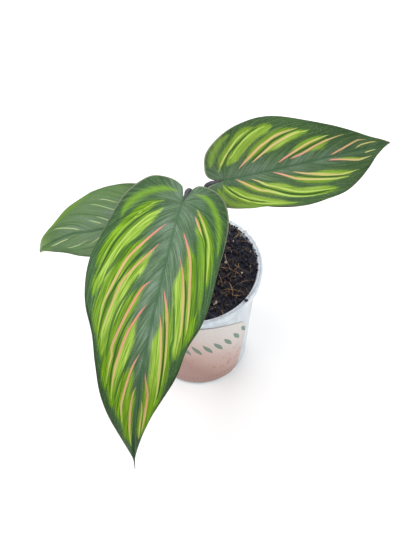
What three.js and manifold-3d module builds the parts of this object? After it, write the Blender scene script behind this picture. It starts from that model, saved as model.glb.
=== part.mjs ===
// A young prayer plant in its starter pot: three patterned leaves on thin stalks,
// growing from peat in a thin translucent cup that wears one paper sticker.
// Millimetres, +Z up. The origin is the middle of the pot's underside, and -Y is the front.

import * as THREE from "three";
import { mergeVertices } from "three/addons/utils/BufferGeometryUtils.js";
import Module from "manifold-3d";

const wasm = await Module();
wasm.setup();

// Pot: a deep-drawn cup, narrower at the foot, with a rolled rim.
const POT_HEIGHT = 64;
const POT_FOOT_R = 22;
const POT_NECK_R = 27.5;
const POT_NECK_Z = 60.3;
const POT_RIM_R = 30;
const POT_WALL = 0.9;
const POT_FLOOR = 1.2;
const POT_SIDES = 72;
const DRAIN_HOLES = 6;
const DRAIN_RING_R = 14;
const DRAIN_R = 2.2;

// Peat: fills the cup almost to the rim.
const SOIL_TOP_Z = 61.8;
const SOIL_DOME = 0.9;
const SOIL_CLEARANCE = 0.3;
const STALK_SOCKET_DEPTH = 4.5;

// Sticker: wraps the front of the cup, put on a little askew.
const STICKER_LEFT = -151;
const STICKER_RIGHT_LOW = -34;
const STICKER_RIGHT_HIGH = -25;
const STICKER_BOTTOM_Z = 2.2;
const STICKER_TOP_Z = 58.4;
const STICKER_SAG = 16;
const STICKER_CORNER = 5;
const STICKER_GAP = 0.3;
const STICKER_THICK = 0.35;

// Leaves: one thin sheet each, with a keel under the midrib.
const BLADE_THICK = 0.8;
const KEEL_BASE = 0.9;
const KEEL_TIP = 0.15;
const BLADE_ROWS = 38;
const BLADE_COLUMNS = 8;

// Stalks: sheathed at the foot, slim in the middle, with a swollen joint at the leaf.
const STALK_FOOT_R = 1.9;
const STALK_R = 1.15;
const STALK_JOINT_R = 1.32;
const STALK_SIDES = 11;

// Each leaf: its midrib in space, the direction of its width, and its flat pattern.
// A pattern point is [distance along the midrib, distance across it]. The pattern starts
// in the notch where the stalk joins, goes back round the lobe and ends at the drip tip.
const FRONT_LEAF = {
  midrib: [
    [1.3, -6.1, 119], [-2.5, -18.9, 122], [-7.8, -40.6, 122], [-12.7, -57.3, 117],
    [-17.6, -73.1, 108.2], [-21.4, -82.9, 97.3], [-23.3, -90.8, 87], [-23.9, -95.7, 77.1],
  ],
  across: [[0.97, -0.22, 0], [0.97, -0.22, 0]],
  halfWidth: 23.6,
  rise: [0.35, 0.12],
  fall: { plus: 0.5, minus: 0.25 },
  wave: { height: 0.5, count: 3.2, plus: 0.6, minus: 2.4 },
  plus: [
    [6.4, 0], [1, 1.3], [-1.8, 2.2], [-2.4, 4.9], [0.7, 11.5], [5.9, 15.8], [13.8, 18.3],
    [23.6, 18.7], [35.5, 18.1], [47.3, 17.7], [56.2, 16.2], [64, 13.4], [72.9, 11.8],
    [80.8, 9], [89.7, 5.7], [98.5, 2.7], [106.4, 0.6], [112.3, 0],
  ],
  minus: [
    [6.4, 0], [1.2, -1.5], [-2, -3], [-3.8, -7.9], [-2.4, -14.4], [3.9, -18.7], [11.8, -21.7],
    [22.7, -23.6], [32.5, -25.1], [41.4, -26.5], [49.3, -25.7], [56.2, -23.5], [65, -19.1],
    [74.9, -16.1], [83.8, -13.1], [90.6, -9.4], [98.5, -4.3], [105.9, -0.6], [112.3, 0],
  ],
};

const RIGHT_LEAF = {
  midrib: [
    [10.1, 4.5, 110.5], [22.3, 4, 113.5], [35.6, 5, 115.1], [50.9, 9.6, 113.5],
    [67.3, 16.7, 109.5], [83.6, 24.3, 104.9],
  ],
  across: [[-0.1, 0.95, 0.1], [-0.2, 0.95, 0.2]],
  halfWidth: 19.4,
  rise: [0.4, 0.15],
  fall: { plus: 0.12, minus: 0.05 },
  wave: { height: 0.4, count: 2.6, plus: 1.2, minus: 4 },
  plus: [
    [4.6, 0], [0.6, 1.2], [-1.2, 2.5], [-1.8, 5.6], [-0.4, 11.4], [5.4, 16.9],
    [12.3, 20.6], [19.7, 22.5], [27.6, 22.2], [36.8, 20.2], [45.9, 17.1], [55.1, 12.9],
    [63.3, 8.6], [70, 4.7], [75.6, 2], [79, 0],
  ],
  minus: [
    [4.6, 0], [0.6, -1.2], [-1.2, -2.7], [-1.5, -6.1], [1.4, -11.7], [6.9, -15.7],
    [13.3, -18.2], [20.4, -19], [29, -21], [37.8, -19.7], [43.9, -18.6], [52.1, -14.7],
    [60.9, -9.7], [67.4, -5.4], [73.5, -2.2], [79, 0],
  ],
};

const LEFT_LEAF = {
  midrib: [
    [-8.2, 0.5, 99.5], [-18.1, -5.1, 102.5], [-27.2, -7.7, 103.5], [-36, -8.6, 103],
    [-44.4, -8, 101.3], [-51.6, -8, 98], [-57.2, -7.3, 93.2], [-60, -5, 87.5],
  ],
  across: [[-0.1, -0.95, -0.15], [-0.1, -0.95, -0.25]],
  halfWidth: 19,
  rise: [0.2, 0.15],
  fall: { plus: 0.4, minus: 0.05 },
  wave: { height: 0.4, count: 2.2, plus: 3, minus: 0.5 },
  plus: [
    [4.5, 0], [0.6, 1.2], [-1.4, 2.4], [-3, 5.5], [-1.6, 9.6], [4, 12.2], [12, 13.4],
    [21, 12.9], [31.5, 10.6], [39, 8.7], [46, 5.6], [52, 2.6], [56.5, 1], [61, 0],
  ],
  minus: [
    [4.5, 0], [0.6, -1.2], [-1.4, -2.6], [-3, -6.5], [0, -11], [7.5, -14.6], [14, -16.4],
    [21, -16.9], [28, -16.1], [33.5, -14.6], [38.9, -11.6], [44, -8.3], [49, -6.1],
    [54, -4.6], [58, -3], [60.2, -1.2], [61, 0],
  ],
};

const COLOURS = {
  pot: "#c3ced1",
  sticker: "#ddcac3",
  peat: "#2a2320",
  leaf: "#33623a",
  stalk: "#6a5560",
};

// Geometry from plain lists of corners and of the three corners of each triangle.
function geometryOf(points, triangles) {
  const geometry = new THREE.BufferGeometry();
  geometry.setAttribute("position", new THREE.Float32BufferAttribute(points.flat(), 3));
  geometry.setIndex(triangles.flat());
  geometry.computeVertexNormals();
  return geometry;
}

function solidOf(geometry) {
  const plain = new THREE.BufferGeometry();
  plain.setAttribute("position", geometry.getAttribute("position"));
  if (geometry.index) plain.setIndex(geometry.index);
  const merged = mergeVertices(plain, 1e-3);
  return new wasm.Manifold(
    new wasm.Mesh({
      numProp: 3,
      vertProperties: new Float32Array(merged.attributes.position.array),
      triVerts: new Uint32Array(merged.index.array),
    }),
  );
}

function geometryFrom(solid) {
  const mesh = solid.getMesh();
  const geometry = new THREE.BufferGeometry();
  const corners = new Float32Array(mesh.numVert * 3);
  for (let i = 0; i < mesh.numVert; i++) {
    corners.set(mesh.vertProperties.subarray(i * mesh.numProp, i * mesh.numProp + 3), i * 3);
  }
  geometry.setAttribute("position", new THREE.BufferAttribute(corners, 3));
  geometry.setIndex(new THREE.BufferAttribute(mesh.triVerts, 1));
  geometry.computeVertexNormals();
  return geometry;
}

function material(colour, roughness) {
  return new THREE.MeshStandardMaterial({ color: colour, roughness, metalness: 0 });
}

function smoothCurve(points) {
  const list = points.map((p) => new THREE.Vector3(p[0], p[1], p[2] ?? 0));
  const curve = new THREE.CatmullRomCurve3(list, false, "catmullrom", 0.5);
  curve.arcLengthDivisions = 800;
  return curve;
}

function smoothStep(low, high, x) {
  const t = Math.min(Math.max((x - low) / (high - low), 0), 1);
  return t * t * (3 - 2 * t);
}

// A closed ring or cup: the profile is [radius, height] and runs anticlockwise in the
// half plane, so the faces point outwards.
function turned(profile, sides) {
  return new THREE.LatheGeometry(
    profile.map(([r, z]) => new THREE.Vector2(r, z)),
    sides,
  ).rotateX(Math.PI / 2);
}

// A round bar along a smooth path, with a radius at each of the path's points.
function bar(path, radii, sides, steps) {
  const curve = smoothCurve(path);
  const count = path.length - 1;
  const points = [];
  const triangles = [];
  let normal = new THREE.Vector3(1, 0, 0);
  for (let i = 0; i <= steps; i++) {
    const t = i / steps;
    const centre = curve.getPoint(t);
    const along = curve.getTangent(t);
    normal = normal.clone().addScaledVector(along, -normal.dot(along)).normalize();
    const second = new THREE.Vector3().crossVectors(along, normal);
    const k = Math.min(Math.floor(t * count), count - 1);
    const f = smoothStep(0, 1, t * count - k);
    const r = radii[k] * (1 - f) + radii[k + 1] * f;
    for (let j = 0; j < sides; j++) {
      const a = (2 * Math.PI * j) / sides;
      const p = centre.clone();
      p.addScaledVector(normal, r * Math.cos(a)).addScaledVector(second, r * Math.sin(a));
      points.push(p.toArray());
    }
  }
  const first = points.length;
  points.push(curve.getPoint(0).toArray());
  points.push(curve.getPoint(1).toArray());
  for (let j = 0; j < sides; j++) {
    const n = (j + 1) % sides;
    const end = steps * sides;
    triangles.push([first, n, j]);
    triangles.push([first + 1, end + j, end + n]);
    for (let i = 0; i < steps; i++) {
      const a = i * sides;
      const b = a + sides;
      triangles.push([a + j, a + n, b + n]);
      triangles.push([a + j, b + n, b + j]);
    }
  }
  return geometryOf(points, triangles);
}

// The cup's outside radius at a height, below the rim.
function wallRadius(z) {
  return POT_FOOT_R + ((POT_NECK_R - POT_FOOT_R) * z) / POT_NECK_Z;
}

function makePot() {
  const inner = (z) => wallRadius(z) - POT_WALL;
  const profile = [
    [0, POT_FLOOR],
    [0, 0],
    [POT_FOOT_R - 1.5, 0],
    [POT_FOOT_R - 0.45, 0.45],
    [wallRadius(1.5), 1.5],
    [wallRadius(20), 20],
    [wallRadius(40), 40],
    [POT_NECK_R, POT_NECK_Z],
    [POT_RIM_R - 0.8, POT_NECK_Z + 0.2],
    [POT_RIM_R - 0.15, POT_NECK_Z + 0.5],
    [POT_RIM_R, POT_NECK_Z + 1.2],
    [POT_RIM_R, POT_HEIGHT - 0.9],
    [POT_RIM_R - 0.35, POT_HEIGHT - 0.25],
    [POT_RIM_R - 0.9, POT_HEIGHT],
    [POT_RIM_R - 1.5, POT_HEIGHT - 0.15],
    [POT_RIM_R - 1.85, POT_HEIGHT - 0.7],
    [inner(POT_NECK_Z) + 0.5, POT_NECK_Z + 0.4],
    [inner(POT_NECK_Z - 1), POT_NECK_Z - 1],
    [inner(40), 40],
    [inner(20), 20],
    [inner(2.6), 2.6],
    [inner(2) - 0.5, POT_FLOOR + 0.4],
    [inner(2) - 1.4, POT_FLOOR],
    [0, POT_FLOOR],
  ];
  let cup = solidOf(turned(profile, POT_SIDES));
  for (let i = 0; i < DRAIN_HOLES; i++) {
    const angle = (2 * Math.PI * (i + 0.5)) / DRAIN_HOLES;
    const drill = new THREE.CylinderGeometry(DRAIN_R, DRAIN_R, 6, 20).rotateX(Math.PI / 2);
    drill.translate(DRAIN_RING_R * Math.cos(angle), DRAIN_RING_R * Math.sin(angle), 0.6);
    cup = cup.subtract(solidOf(drill));
  }
  return geometryFrom(cup);
}

function makeSoil(stalks) {
  const gap = POT_WALL + SOIL_CLEARANCE;
  const outer = (z) => wallRadius(z) - gap;
  const edge = outer(SOIL_TOP_Z);
  const profile = [
    [0, POT_FLOOR + SOIL_CLEARANCE],
    [outer(2) - 1.6, POT_FLOOR + SOIL_CLEARANCE],
    [outer(2.6) - 0.5, POT_FLOOR + SOIL_CLEARANCE + 0.5],
    [outer(4), 4],
    [outer(20), 20],
    [outer(40), 40],
    [edge, SOIL_TOP_Z - 0.8],
    [edge - 0.9, SOIL_TOP_Z - 0.1],
    [edge * 0.82, SOIL_TOP_Z + SOIL_DOME * 0.33],
    [edge * 0.62, SOIL_TOP_Z + SOIL_DOME * 0.62],
    [edge * 0.4, SOIL_TOP_Z + SOIL_DOME * 0.84],
    [edge * 0.2, SOIL_TOP_Z + SOIL_DOME * 0.96],
    [0, SOIL_TOP_Z + SOIL_DOME],
  ];
  let peat = solidOf(turned(profile, POT_SIDES));
  for (const stalk of stalks) {
    peat = peat.subtract(solidOf(stalk.socket));
  }
  return geometryFrom(peat);
}

// The sticker follows the cup from a low edge to a top edge that sags to the right.
function makeSticker() {
  const columns = 34;
  const rows = 7;
  const points = [];
  const triangles = [];
  const at = (u, v, lift) => {
    const across = (STICKER_RIGHT_LOW - STICKER_LEFT) * 0.46 * u;
    const width = (STICKER_RIGHT_LOW - STICKER_LEFT) * 0.46;
    const side = Math.min(across, width - across);
    const bend = Math.max(STICKER_CORNER - side, 0);
    const drop = STICKER_CORNER - Math.sqrt(STICKER_CORNER ** 2 - bend ** 2);
    const low = STICKER_BOTTOM_Z + drop;
    const high = STICKER_TOP_Z - STICKER_SAG * u ** 3.2 - drop;
    const z = low + (high - low) * v;
    const share = (z - STICKER_BOTTOM_Z) / (STICKER_TOP_Z - STICKER_SAG - STICKER_BOTTOM_Z);
    const right = STICKER_RIGHT_LOW + (STICKER_RIGHT_HIGH - STICKER_RIGHT_LOW) * share;
    const angle = ((STICKER_LEFT + (right - STICKER_LEFT) * u) * Math.PI) / 180;
    const r = wallRadius(z) + STICKER_GAP + lift;
    return [r * Math.cos(angle), r * Math.sin(angle), z];
  };
  // Columns lie closer together at both ends, where the corners are round.
  const spread = (i) => 0.5 - 0.5 * Math.cos((Math.PI * i) / columns);
  for (const lift of [STICKER_THICK, 0]) {
    for (let i = 0; i <= columns; i++) {
      for (let j = 0; j <= rows; j++) {
        points.push(at(spread(i), j / rows, lift));
      }
    }
  }
  const sheet = (columns + 1) * (rows + 1);
  const id = (i, j, back) => back * sheet + i * (rows + 1) + j;
  const quad = (a, b, c, d) => triangles.push([a, b, c], [a, c, d]);
  for (let i = 0; i < columns; i++) {
    for (let j = 0; j < rows; j++) {
      quad(id(i, j, 0), id(i + 1, j, 0), id(i + 1, j + 1, 0), id(i, j + 1, 0));
      quad(id(i, j, 1), id(i, j + 1, 1), id(i + 1, j + 1, 1), id(i + 1, j, 1));
    }
    quad(id(i, 0, 1), id(i + 1, 0, 1), id(i + 1, 0, 0), id(i, 0, 0));
    quad(id(i, rows, 0), id(i + 1, rows, 0), id(i + 1, rows, 1), id(i, rows, 1));
  }
  for (let j = 0; j < rows; j++) {
    quad(id(0, j, 0), id(0, j + 1, 0), id(0, j + 1, 1), id(0, j, 1));
    quad(id(columns, j, 0), id(columns, j, 1), id(columns, j + 1, 1), id(columns, j + 1, 0));
  }
  return geometryOf(points, triangles);
}

// The frame of a leaf at a distance along its midrib: centre, direction, width, up.
function leafFrame(leaf, s) {
  leaf.curve ??= smoothCurve(leaf.midrib);
  leaf.length ??= leaf.curve.getLength();
  const t = Math.min(Math.max(s / leaf.length, 0), 1);
  const along = leaf.curve.getTangentAt(t);
  const over = s - t * leaf.length;
  const centre = leaf.curve.getPointAt(t).addScaledVector(along, over);
  const start = new THREE.Vector3(...leaf.across[0]);
  const across = start.lerp(new THREE.Vector3(...leaf.across[1]), t);
  across.addScaledVector(along, -across.dot(along)).normalize();
  const up = new THREE.Vector3().crossVectors(along, across);
  return { t, along, centre, across, up };
}

// A point of the leaf's upper face from its flat pattern: the halves rise from the midrib
// in a shallow V, fall again towards the margin, and wave a little there.
function leafPoint(leaf, s, v) {
  const { t, centre, across, up } = leafFrame(leaf, s);
  const side = v > 0 ? "plus" : "minus";
  const x = Math.abs(v) / leaf.halfWidth;
  const rise = leaf.rise[0] * (1 - t) + leaf.rise[1] * t;
  const wave = Math.sin((2 * Math.PI * leaf.wave.count * s) / leaf.length + leaf.wave[side]);
  const height =
    leaf.halfWidth * (rise * x - leaf.fall[side] * x * x) + leaf.wave.height * x * x * wave;
  return centre.addScaledVector(across, v).addScaledVector(up, height);
}

function leafNormal(leaf, s, v) {
  const d = 0.2;
  const inward = v > 0 ? -d : d;
  const here = leafPoint(leaf, s, v);
  const ahead = leafPoint(leaf, s + d, v).sub(here);
  const aside = leafPoint(leaf, s, v + inward).sub(here).multiplyScalar(Math.sign(inward));
  return ahead.cross(aside).normalize();
}

// Where a side vein leaves the midrib, as a share of the midrib, for a share of the margin.
// The veins of the lower half fan out from the base, and the others sweep to the tip.
function veinStart(u) {
  return 0.035 * u + 0.965 * Math.max((u - 0.55) / 0.45, 0) ** 2.3;
}

// Rows of the blade follow its side veins. Each is a bent line from midrib to margin, and
// a vein of one half leaves the midrib where its partner in the other half does.
function veinRows(leaf) {
  const notch = leaf.plus[0][0];
  const end = leaf.plus[leaf.plus.length - 1][0];
  const margins = { plus: smoothCurve(leaf.plus), minus: smoothCurve(leaf.minus) };
  const rows = { plus: [], minus: [] };
  for (let i = 0; i <= BLADE_ROWS; i++) {
    let low = 0;
    let high = 1;
    for (let k = 0; k < 40; k++) {
      const middle = (low + high) / 2;
      if ((middle + veinStart(middle)) / 2 < i / BLADE_ROWS) low = middle;
      else high = middle;
    }
    const u = (low + high) / 2;
    const from = notch + (end - notch) * veinStart(u);
    const k = smoothStep(0.15, 0.6, u);
    for (const side of ["plus", "minus"]) {
      const to = margins[side].getPointAt(u);
      const bend = [from + (0.46 - 0.1 * k) * (to.x - from), (0.6 + 0.55 * k) * to.y];
      rows[side].push({ from, bend, to: [to.x, to.y] });
    }
  }
  return rows;
}

function veinPoint(row, b) {
  const c = 1 - b;
  return [
    c * c * row.from + 2 * b * c * row.bend[0] + b * b * row.to[0],
    2 * b * c * row.bend[1] + b * b * row.to[1],
  ];
}

function makeBlade(leaf) {
  const points = [];
  const triangles = [];
  const known = new Map();
  const share = (j) => [0, 0.05, 0.14, 0.28, 0.44, 0.6, 0.76, 0.89, 1][j];
  const rows = veinRows(leaf);
  const id = (side, i, j, back) => {
    const single = i === 0 || i === BLADE_ROWS;
    const key = single ? [i, back] : [j === 0 ? "midrib" : side, i, j, back];
    if (known.has(key.join())) return known.get(key.join());
    const row = rows[side][i];
    let [s, v] = veinPoint(row, single ? 0 : share(j));
    if (i === BLADE_ROWS) [s, v] = row.to;
    if (single || j === 0) v = 0;
    const top = leafPoint(leaf, s, v);
    if (back) {
      const t = Math.min(Math.max(s / leaf.length, 0), 1);
      const keel = (KEEL_BASE * (1 - t) + KEEL_TIP * t) * Math.exp(-((v / 1.3) ** 2));
      const normal = v === 0 ? leafFrame(leaf, s).up : leafNormal(leaf, s, v);
      top.addScaledVector(normal, -(BLADE_THICK + keel));
    }
    points.push(top.toArray());
    known.set(key.join(), points.length - 1);
    return points.length - 1;
  };
  const face = (a, b, c, flip) => {
    if (a === b || b === c || a === c) return;
    triangles.push(flip ? [a, c, b] : [a, b, c]);
  };
  for (const side of ["plus", "minus"]) {
    const flip = side === "minus";
    for (let i = 0; i < BLADE_ROWS; i++) {
      for (let j = 0; j < BLADE_COLUMNS; j++) {
        for (const back of [0, 1]) {
          const a = id(side, i, j, back);
          const b = id(side, i + 1, j, back);
          const c = id(side, i + 1, j + 1, back);
          const d = id(side, i, j + 1, back);
          face(a, b, c, flip !== Boolean(back));
          face(a, c, d, flip !== Boolean(back));
        }
      }
      const a = id(side, i, BLADE_COLUMNS, 0);
      const b = id(side, i + 1, BLADE_COLUMNS, 0);
      const c = id(side, i + 1, BLADE_COLUMNS, 1);
      const d = id(side, i, BLADE_COLUMNS, 1);
      face(a, b, c, flip);
      face(a, c, d, flip);
    }
  }
  return geometryOf(points, triangles);
}

// A stalk stands in its socket in the peat, rises to its leaf and bends over into the notch.
function makeStalk(leaf, foot, lean) {
  const { centre, along, up } = leafFrame(leaf, 0);
  const by = (s, depth) => {
    const p = centre.clone().addScaledVector(along, s).addScaledVector(up, -depth);
    return p.toArray();
  };
  const notch = leaf.plus[0][0];
  const neck = by(-2.3, 3.4);
  const soil = [foot[0], foot[1], SOIL_TOP_Z - 3];
  const middle = (f) => [
    foot[0] + (neck[0] - foot[0]) * f + lean[0] * Math.sin(Math.PI * f),
    foot[1] + (neck[1] - foot[1]) * f + lean[1] * Math.sin(Math.PI * f),
    SOIL_TOP_Z + (neck[2] - SOIL_TOP_Z) * f,
  ];
  const path = [
    soil, middle(0.06), middle(0.25), middle(0.5), middle(0.8), neck,
    by(-1.3, 1.6), by(0.2, 0.95), by(notch * 0.42, 0.6), by(notch * 0.72, 0.35),
  ];
  const radii = [
    STALK_FOOT_R, STALK_FOOT_R * 0.95, STALK_R * 1.12, STALK_R, STALK_R, STALK_JOINT_R,
    STALK_JOINT_R * 0.93, STALK_JOINT_R * 0.72, notch * 0.09, 0.14,
  ];
  const socketR = STALK_FOOT_R + SOIL_CLEARANCE + 0.1;
  const socket = new THREE.CylinderGeometry(socketR, socketR, STALK_SOCKET_DEPTH * 2, 20);
  socket.rotateX(Math.PI / 2);
  socket.translate(foot[0], foot[1], SOIL_TOP_Z - 3.4 + STALK_SOCKET_DEPTH);
  return { geometry: bar(path, radii, STALK_SIDES, 36), socket };
}

const stalks = {
  front: makeStalk(FRONT_LEAF, [-0.6, -2.6], [-0.6, 0.8]),
  right: makeStalk(RIGHT_LEAF, [3.6, 1.8], [-0.5, 0.6]),
  left: makeStalk(LEFT_LEAF, [-3.8, 2.4], [0.6, 0.6]),
};

const plant = new THREE.Group();

function place(name, geometry, colour, roughness) {
  const mesh = new THREE.Mesh(geometry, material(colour, roughness));
  mesh.name = name;
  plant.add(mesh);
}

place("pot", makePot(), COLOURS.pot, 0.45);
place("sticker", makeSticker(), COLOURS.sticker, 0.7);
place("soil", makeSoil(Object.values(stalks)), COLOURS.peat, 0.95);
place("stalk_front", stalks.front.geometry, COLOURS.stalk, 0.5);
place("stalk_right", stalks.right.geometry, COLOURS.stalk, 0.5);
place("stalk_left", stalks.left.geometry, COLOURS.stalk, 0.5);
place("blade_front", makeBlade(FRONT_LEAF), COLOURS.leaf, 0.4);
place("blade_right", makeBlade(RIGHT_LEAF), COLOURS.leaf, 0.4);
place("blade_left", makeBlade(LEFT_LEAF), COLOURS.leaf, 0.4);

export default plant;
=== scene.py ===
# A young potted prayer plant: three patterned leaves on thin stalks, rooted in peat in a
# small milky cup with a paper sticker. Sizes are in millimetres until a mesh is made.
import math

import bmesh
import bpy
import numpy as np
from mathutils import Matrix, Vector


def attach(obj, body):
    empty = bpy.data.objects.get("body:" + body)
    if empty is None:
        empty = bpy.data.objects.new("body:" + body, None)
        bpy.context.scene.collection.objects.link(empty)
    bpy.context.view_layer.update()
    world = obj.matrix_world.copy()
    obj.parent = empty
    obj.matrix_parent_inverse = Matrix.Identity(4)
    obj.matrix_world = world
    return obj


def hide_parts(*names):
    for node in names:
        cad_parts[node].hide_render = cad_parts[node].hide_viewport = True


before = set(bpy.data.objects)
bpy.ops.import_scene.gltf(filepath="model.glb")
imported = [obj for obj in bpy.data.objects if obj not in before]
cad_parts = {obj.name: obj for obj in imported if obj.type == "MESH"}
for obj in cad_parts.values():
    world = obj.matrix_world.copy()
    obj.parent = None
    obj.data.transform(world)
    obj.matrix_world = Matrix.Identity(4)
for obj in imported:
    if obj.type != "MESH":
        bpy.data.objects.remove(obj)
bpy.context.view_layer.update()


# ---------------------------------------------------------------------------------------
# Camera. A short tele view from 54.6 degrees above the rim, turned a little about its own
# axis. It was found from the ellipses of the rim and the foot.
CAMERA_DOWN = 54.6
CAMERA_ROLL = -4.2
lens = bpy.data.cameras.new("camera")
lens.lens = 55
lens.sensor_fit = "VERTICAL"
lens.sensor_height = 36
lens.clip_start = 0.01
camera = bpy.data.objects.new("camera", lens)
camera.location = (0.00632, -0.21293, 0.35433)
camera.rotation_mode = "ZYX"
camera.rotation_euler = (math.radians(90 - CAMERA_DOWN), 0, math.radians(CAMERA_ROLL))
bpy.context.collection.objects.link(camera)
bpy.context.scene.camera = camera
bpy.context.scene.view_settings.view_transform = "Standard"


# ---------------------------------------------------------------------------------------
# Pot. A thin cup of milky polypropylene, injection moulded in one shot, with a stiff ridged
# rim that turns out, a plain tapered wall, and six drain holes in its floor.
MM = 0.001
POT_HEIGHT = 64
FOOT_R = 22
NECK_R = 27.5
NECK_Z = 60.3
RIM_R = 30
WALL = 0.9
FLOOR = 1.2
DRAIN_HOLES = 6
DRAIN_RING_R = 14
DRAIN_R = 2.2
POT_SIDES = 192


def wall_radius(z):
    """The cup's outside radius at a height below the rim."""
    return FOOT_R + (NECK_R - FOOT_R) * z / NECK_Z


def make_piece(name, points, faces, materials, smooth=True):
    """A mesh object at the origin from points in millimetres."""
    mesh = bpy.data.meshes.new(name)
    mesh.from_pydata([tuple(c * MM for c in p) for p in points], [], faces)
    for material in materials:
        mesh.materials.append(material)
    mesh.polygons.foreach_set("use_smooth", [smooth] * len(mesh.polygons))
    mesh.update()
    piece = bpy.data.objects.new(name, mesh)
    bpy.context.collection.objects.link(piece)
    return piece


def turn(profile, sides):
    """Points and faces of a closed body turned about Z. The profile is (radius, height),
    runs anticlockwise and starts and ends on the axis."""
    points, faces, rings = [], [], []
    for r, z in profile:
        if r == 0:
            rings.append([len(points)] * sides)
            points.append((0, 0, z))
            continue
        rings.append(list(range(len(points), len(points) + sides)))
        for i in range(sides):
            a = 2 * math.pi * i / sides
            points.append((r * math.cos(a), r * math.sin(a), z))
    for low, high in zip(rings, rings[1:]):
        for i in range(sides):
            j = (i + 1) % sides
            corners = list(dict.fromkeys((low[i], low[j], high[j], high[i])))
            if len(corners) > 2:
                faces.append(corners)
    return points, faces


def settle(piece):
    """Puts what a piece's modifier makes into its mesh, and takes the modifier away."""
    now = bpy.context.evaluated_depsgraph_get()
    mesh = bpy.data.meshes.new_from_object(piece.evaluated_get(now))
    piece.modifiers.clear()
    piece.data = mesh
    mesh.name = piece.name
    return mesh


def colour(text):
    """An sRGB hex colour as Blender's linear red, green, blue and alpha."""
    parts = [int(text[i : i + 2], 16) / 255 for i in (1, 3, 5)]
    return [p / 12.92 if p <= 0.04045 else ((p + 0.055) / 1.055) ** 2.4 for p in parts] + [1]


def add(tree, kind, *inputs, ramp=(), **named):
    """Adds a node with its settings and links, and gives back the node. Inputs come in order
    or by name (with a capital, and _ for a space) and take a value, a hex colour, a socket, or
    a node's first output. Names in small letters are settings of the node. ramp lists a colour
    ramp's places, each with a hex colour or a grey."""
    node = tree.nodes.new(kind if "Node" in kind else "ShaderNode" + kind)
    wanted = dict(enumerate(inputs))
    for name, value in named.items():
        if name.islower():
            setattr(node, name, value)
        else:
            wanted[name.replace("_", " ")] = value
    for i, (place, shade) in enumerate(ramp):
        stops = node.color_ramp.elements
        if i == 0:
            stops[0].position, stops[1].position = place, ramp[-1][0]
        elif i < len(ramp) - 1:
            stops.new(place)
        stops[i].color = colour(shade) if isinstance(shade, str) else (shade, shade, shade, 1)
    for name, value in wanted.items():
        socket = next(
            each for i, each in enumerate(node.inputs)
            if name == i or (name == each.name and each.enabled)
        )
        if isinstance(value, bpy.types.Node):
            value = next(each for each in value.outputs if each.enabled)
        if isinstance(value, bpy.types.NodeSocket):
            tree.links.new(value, socket)
        else:
            socket.default_value = colour(value) if isinstance(value, str) else value
    return node


def new_material(name):
    """An empty material, its tree of nodes, and the coordinates of the piece in metres."""
    material = bpy.data.materials.new(name)
    material.use_nodes = True
    tree = material.node_tree
    tree.nodes.clear()
    return material, tree, add(tree, "TexCoord").outputs["Object"]


# Moulded milky polypropylene: a soft gloss, light scattered inside the wall, faint flow
# streaks down the wall, a greyer tone where the wet peat lies behind it, a painted shadow
# under the rim, and a lip that catches light on its fine ridges.
milky_pp, t, place = new_material("milky_moulded_polypropylene")
split = add(t, "SeparateXYZ", place)
stretched = add(t, "Mapping", place, Scale=(420, 420, 60))
streaks = add(t, "TexNoise", stretched, Scale=1, Detail=1)
wall_map = add(t, "Mapping", place, Scale=(170, 170, 60))
clouds = add(t, "TexNoise", wall_map, Scale=1, Detail=3)
wet = add(t, "MapRange", split.outputs["Z"], From_Min=0.0575, From_Max=0.0605, To_Min=0.6, To_Max=0)
body = add(t, "ValToRGB", streaks, ramp=((0.3, "#c2ccd4"), (0.7, "#dbe3e8")))
behind = add(t, "ValToRGB", clouds, ramp=((0.34, "#939ea6"), (0.62, "#bfc8ce")))
tone = add(t, "Mix", Factor=wet, A=body, B=behind, data_type="RGBA")
# Just under the rim, a darker band: painted shadow of the overhanging rim, laid over the wettest
# peat that lies against the wall there.
neck = add(t, "MapRange", split.outputs["Z"], From_Min=0.05, From_Max=0.0625)
neck = add(t, "ValToRGB", neck, ramp=((0.45, 0.0), (0.7, 1.0), (0.8, 1.0), (0.86, 0.0)))
rim_shadow_and_peat = add(t, "ValToRGB", clouds, ramp=((0.4, 0.85), (0.6, 0.3)))
neck = add(t, "Math", neck, rim_shadow_and_peat, operation="MULTIPLY")
tone = add(t, "Mix", Factor=neck, A=tone, B="#5f6a72", data_type="RGBA")
fine = add(t, "TexNoise", place, Scale=250, Detail=1)
gloss = add(t, "MapRange", fine, From_Min=0.3, From_Max=0.7, To_Min=0.28, To_Max=0.33)
bump = add(t, "Bump", Height=streaks, Strength=0.01, Distance=0.0003)
skin = add(
    t, "BsdfPrincipled", Base_Color=tone, Roughness=gloss, IOR=1.49, Subsurface_Weight=0.25,
    Subsurface_Radius=(0.0012, 0.0014, 0.0015), Subsurface_Scale=1, Normal=bump,
)
add(t, "OutputMaterial", skin)


def inside(z):
    """The cup's inside radius at a height below the rim."""
    return wall_radius(z) - WALL


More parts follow.
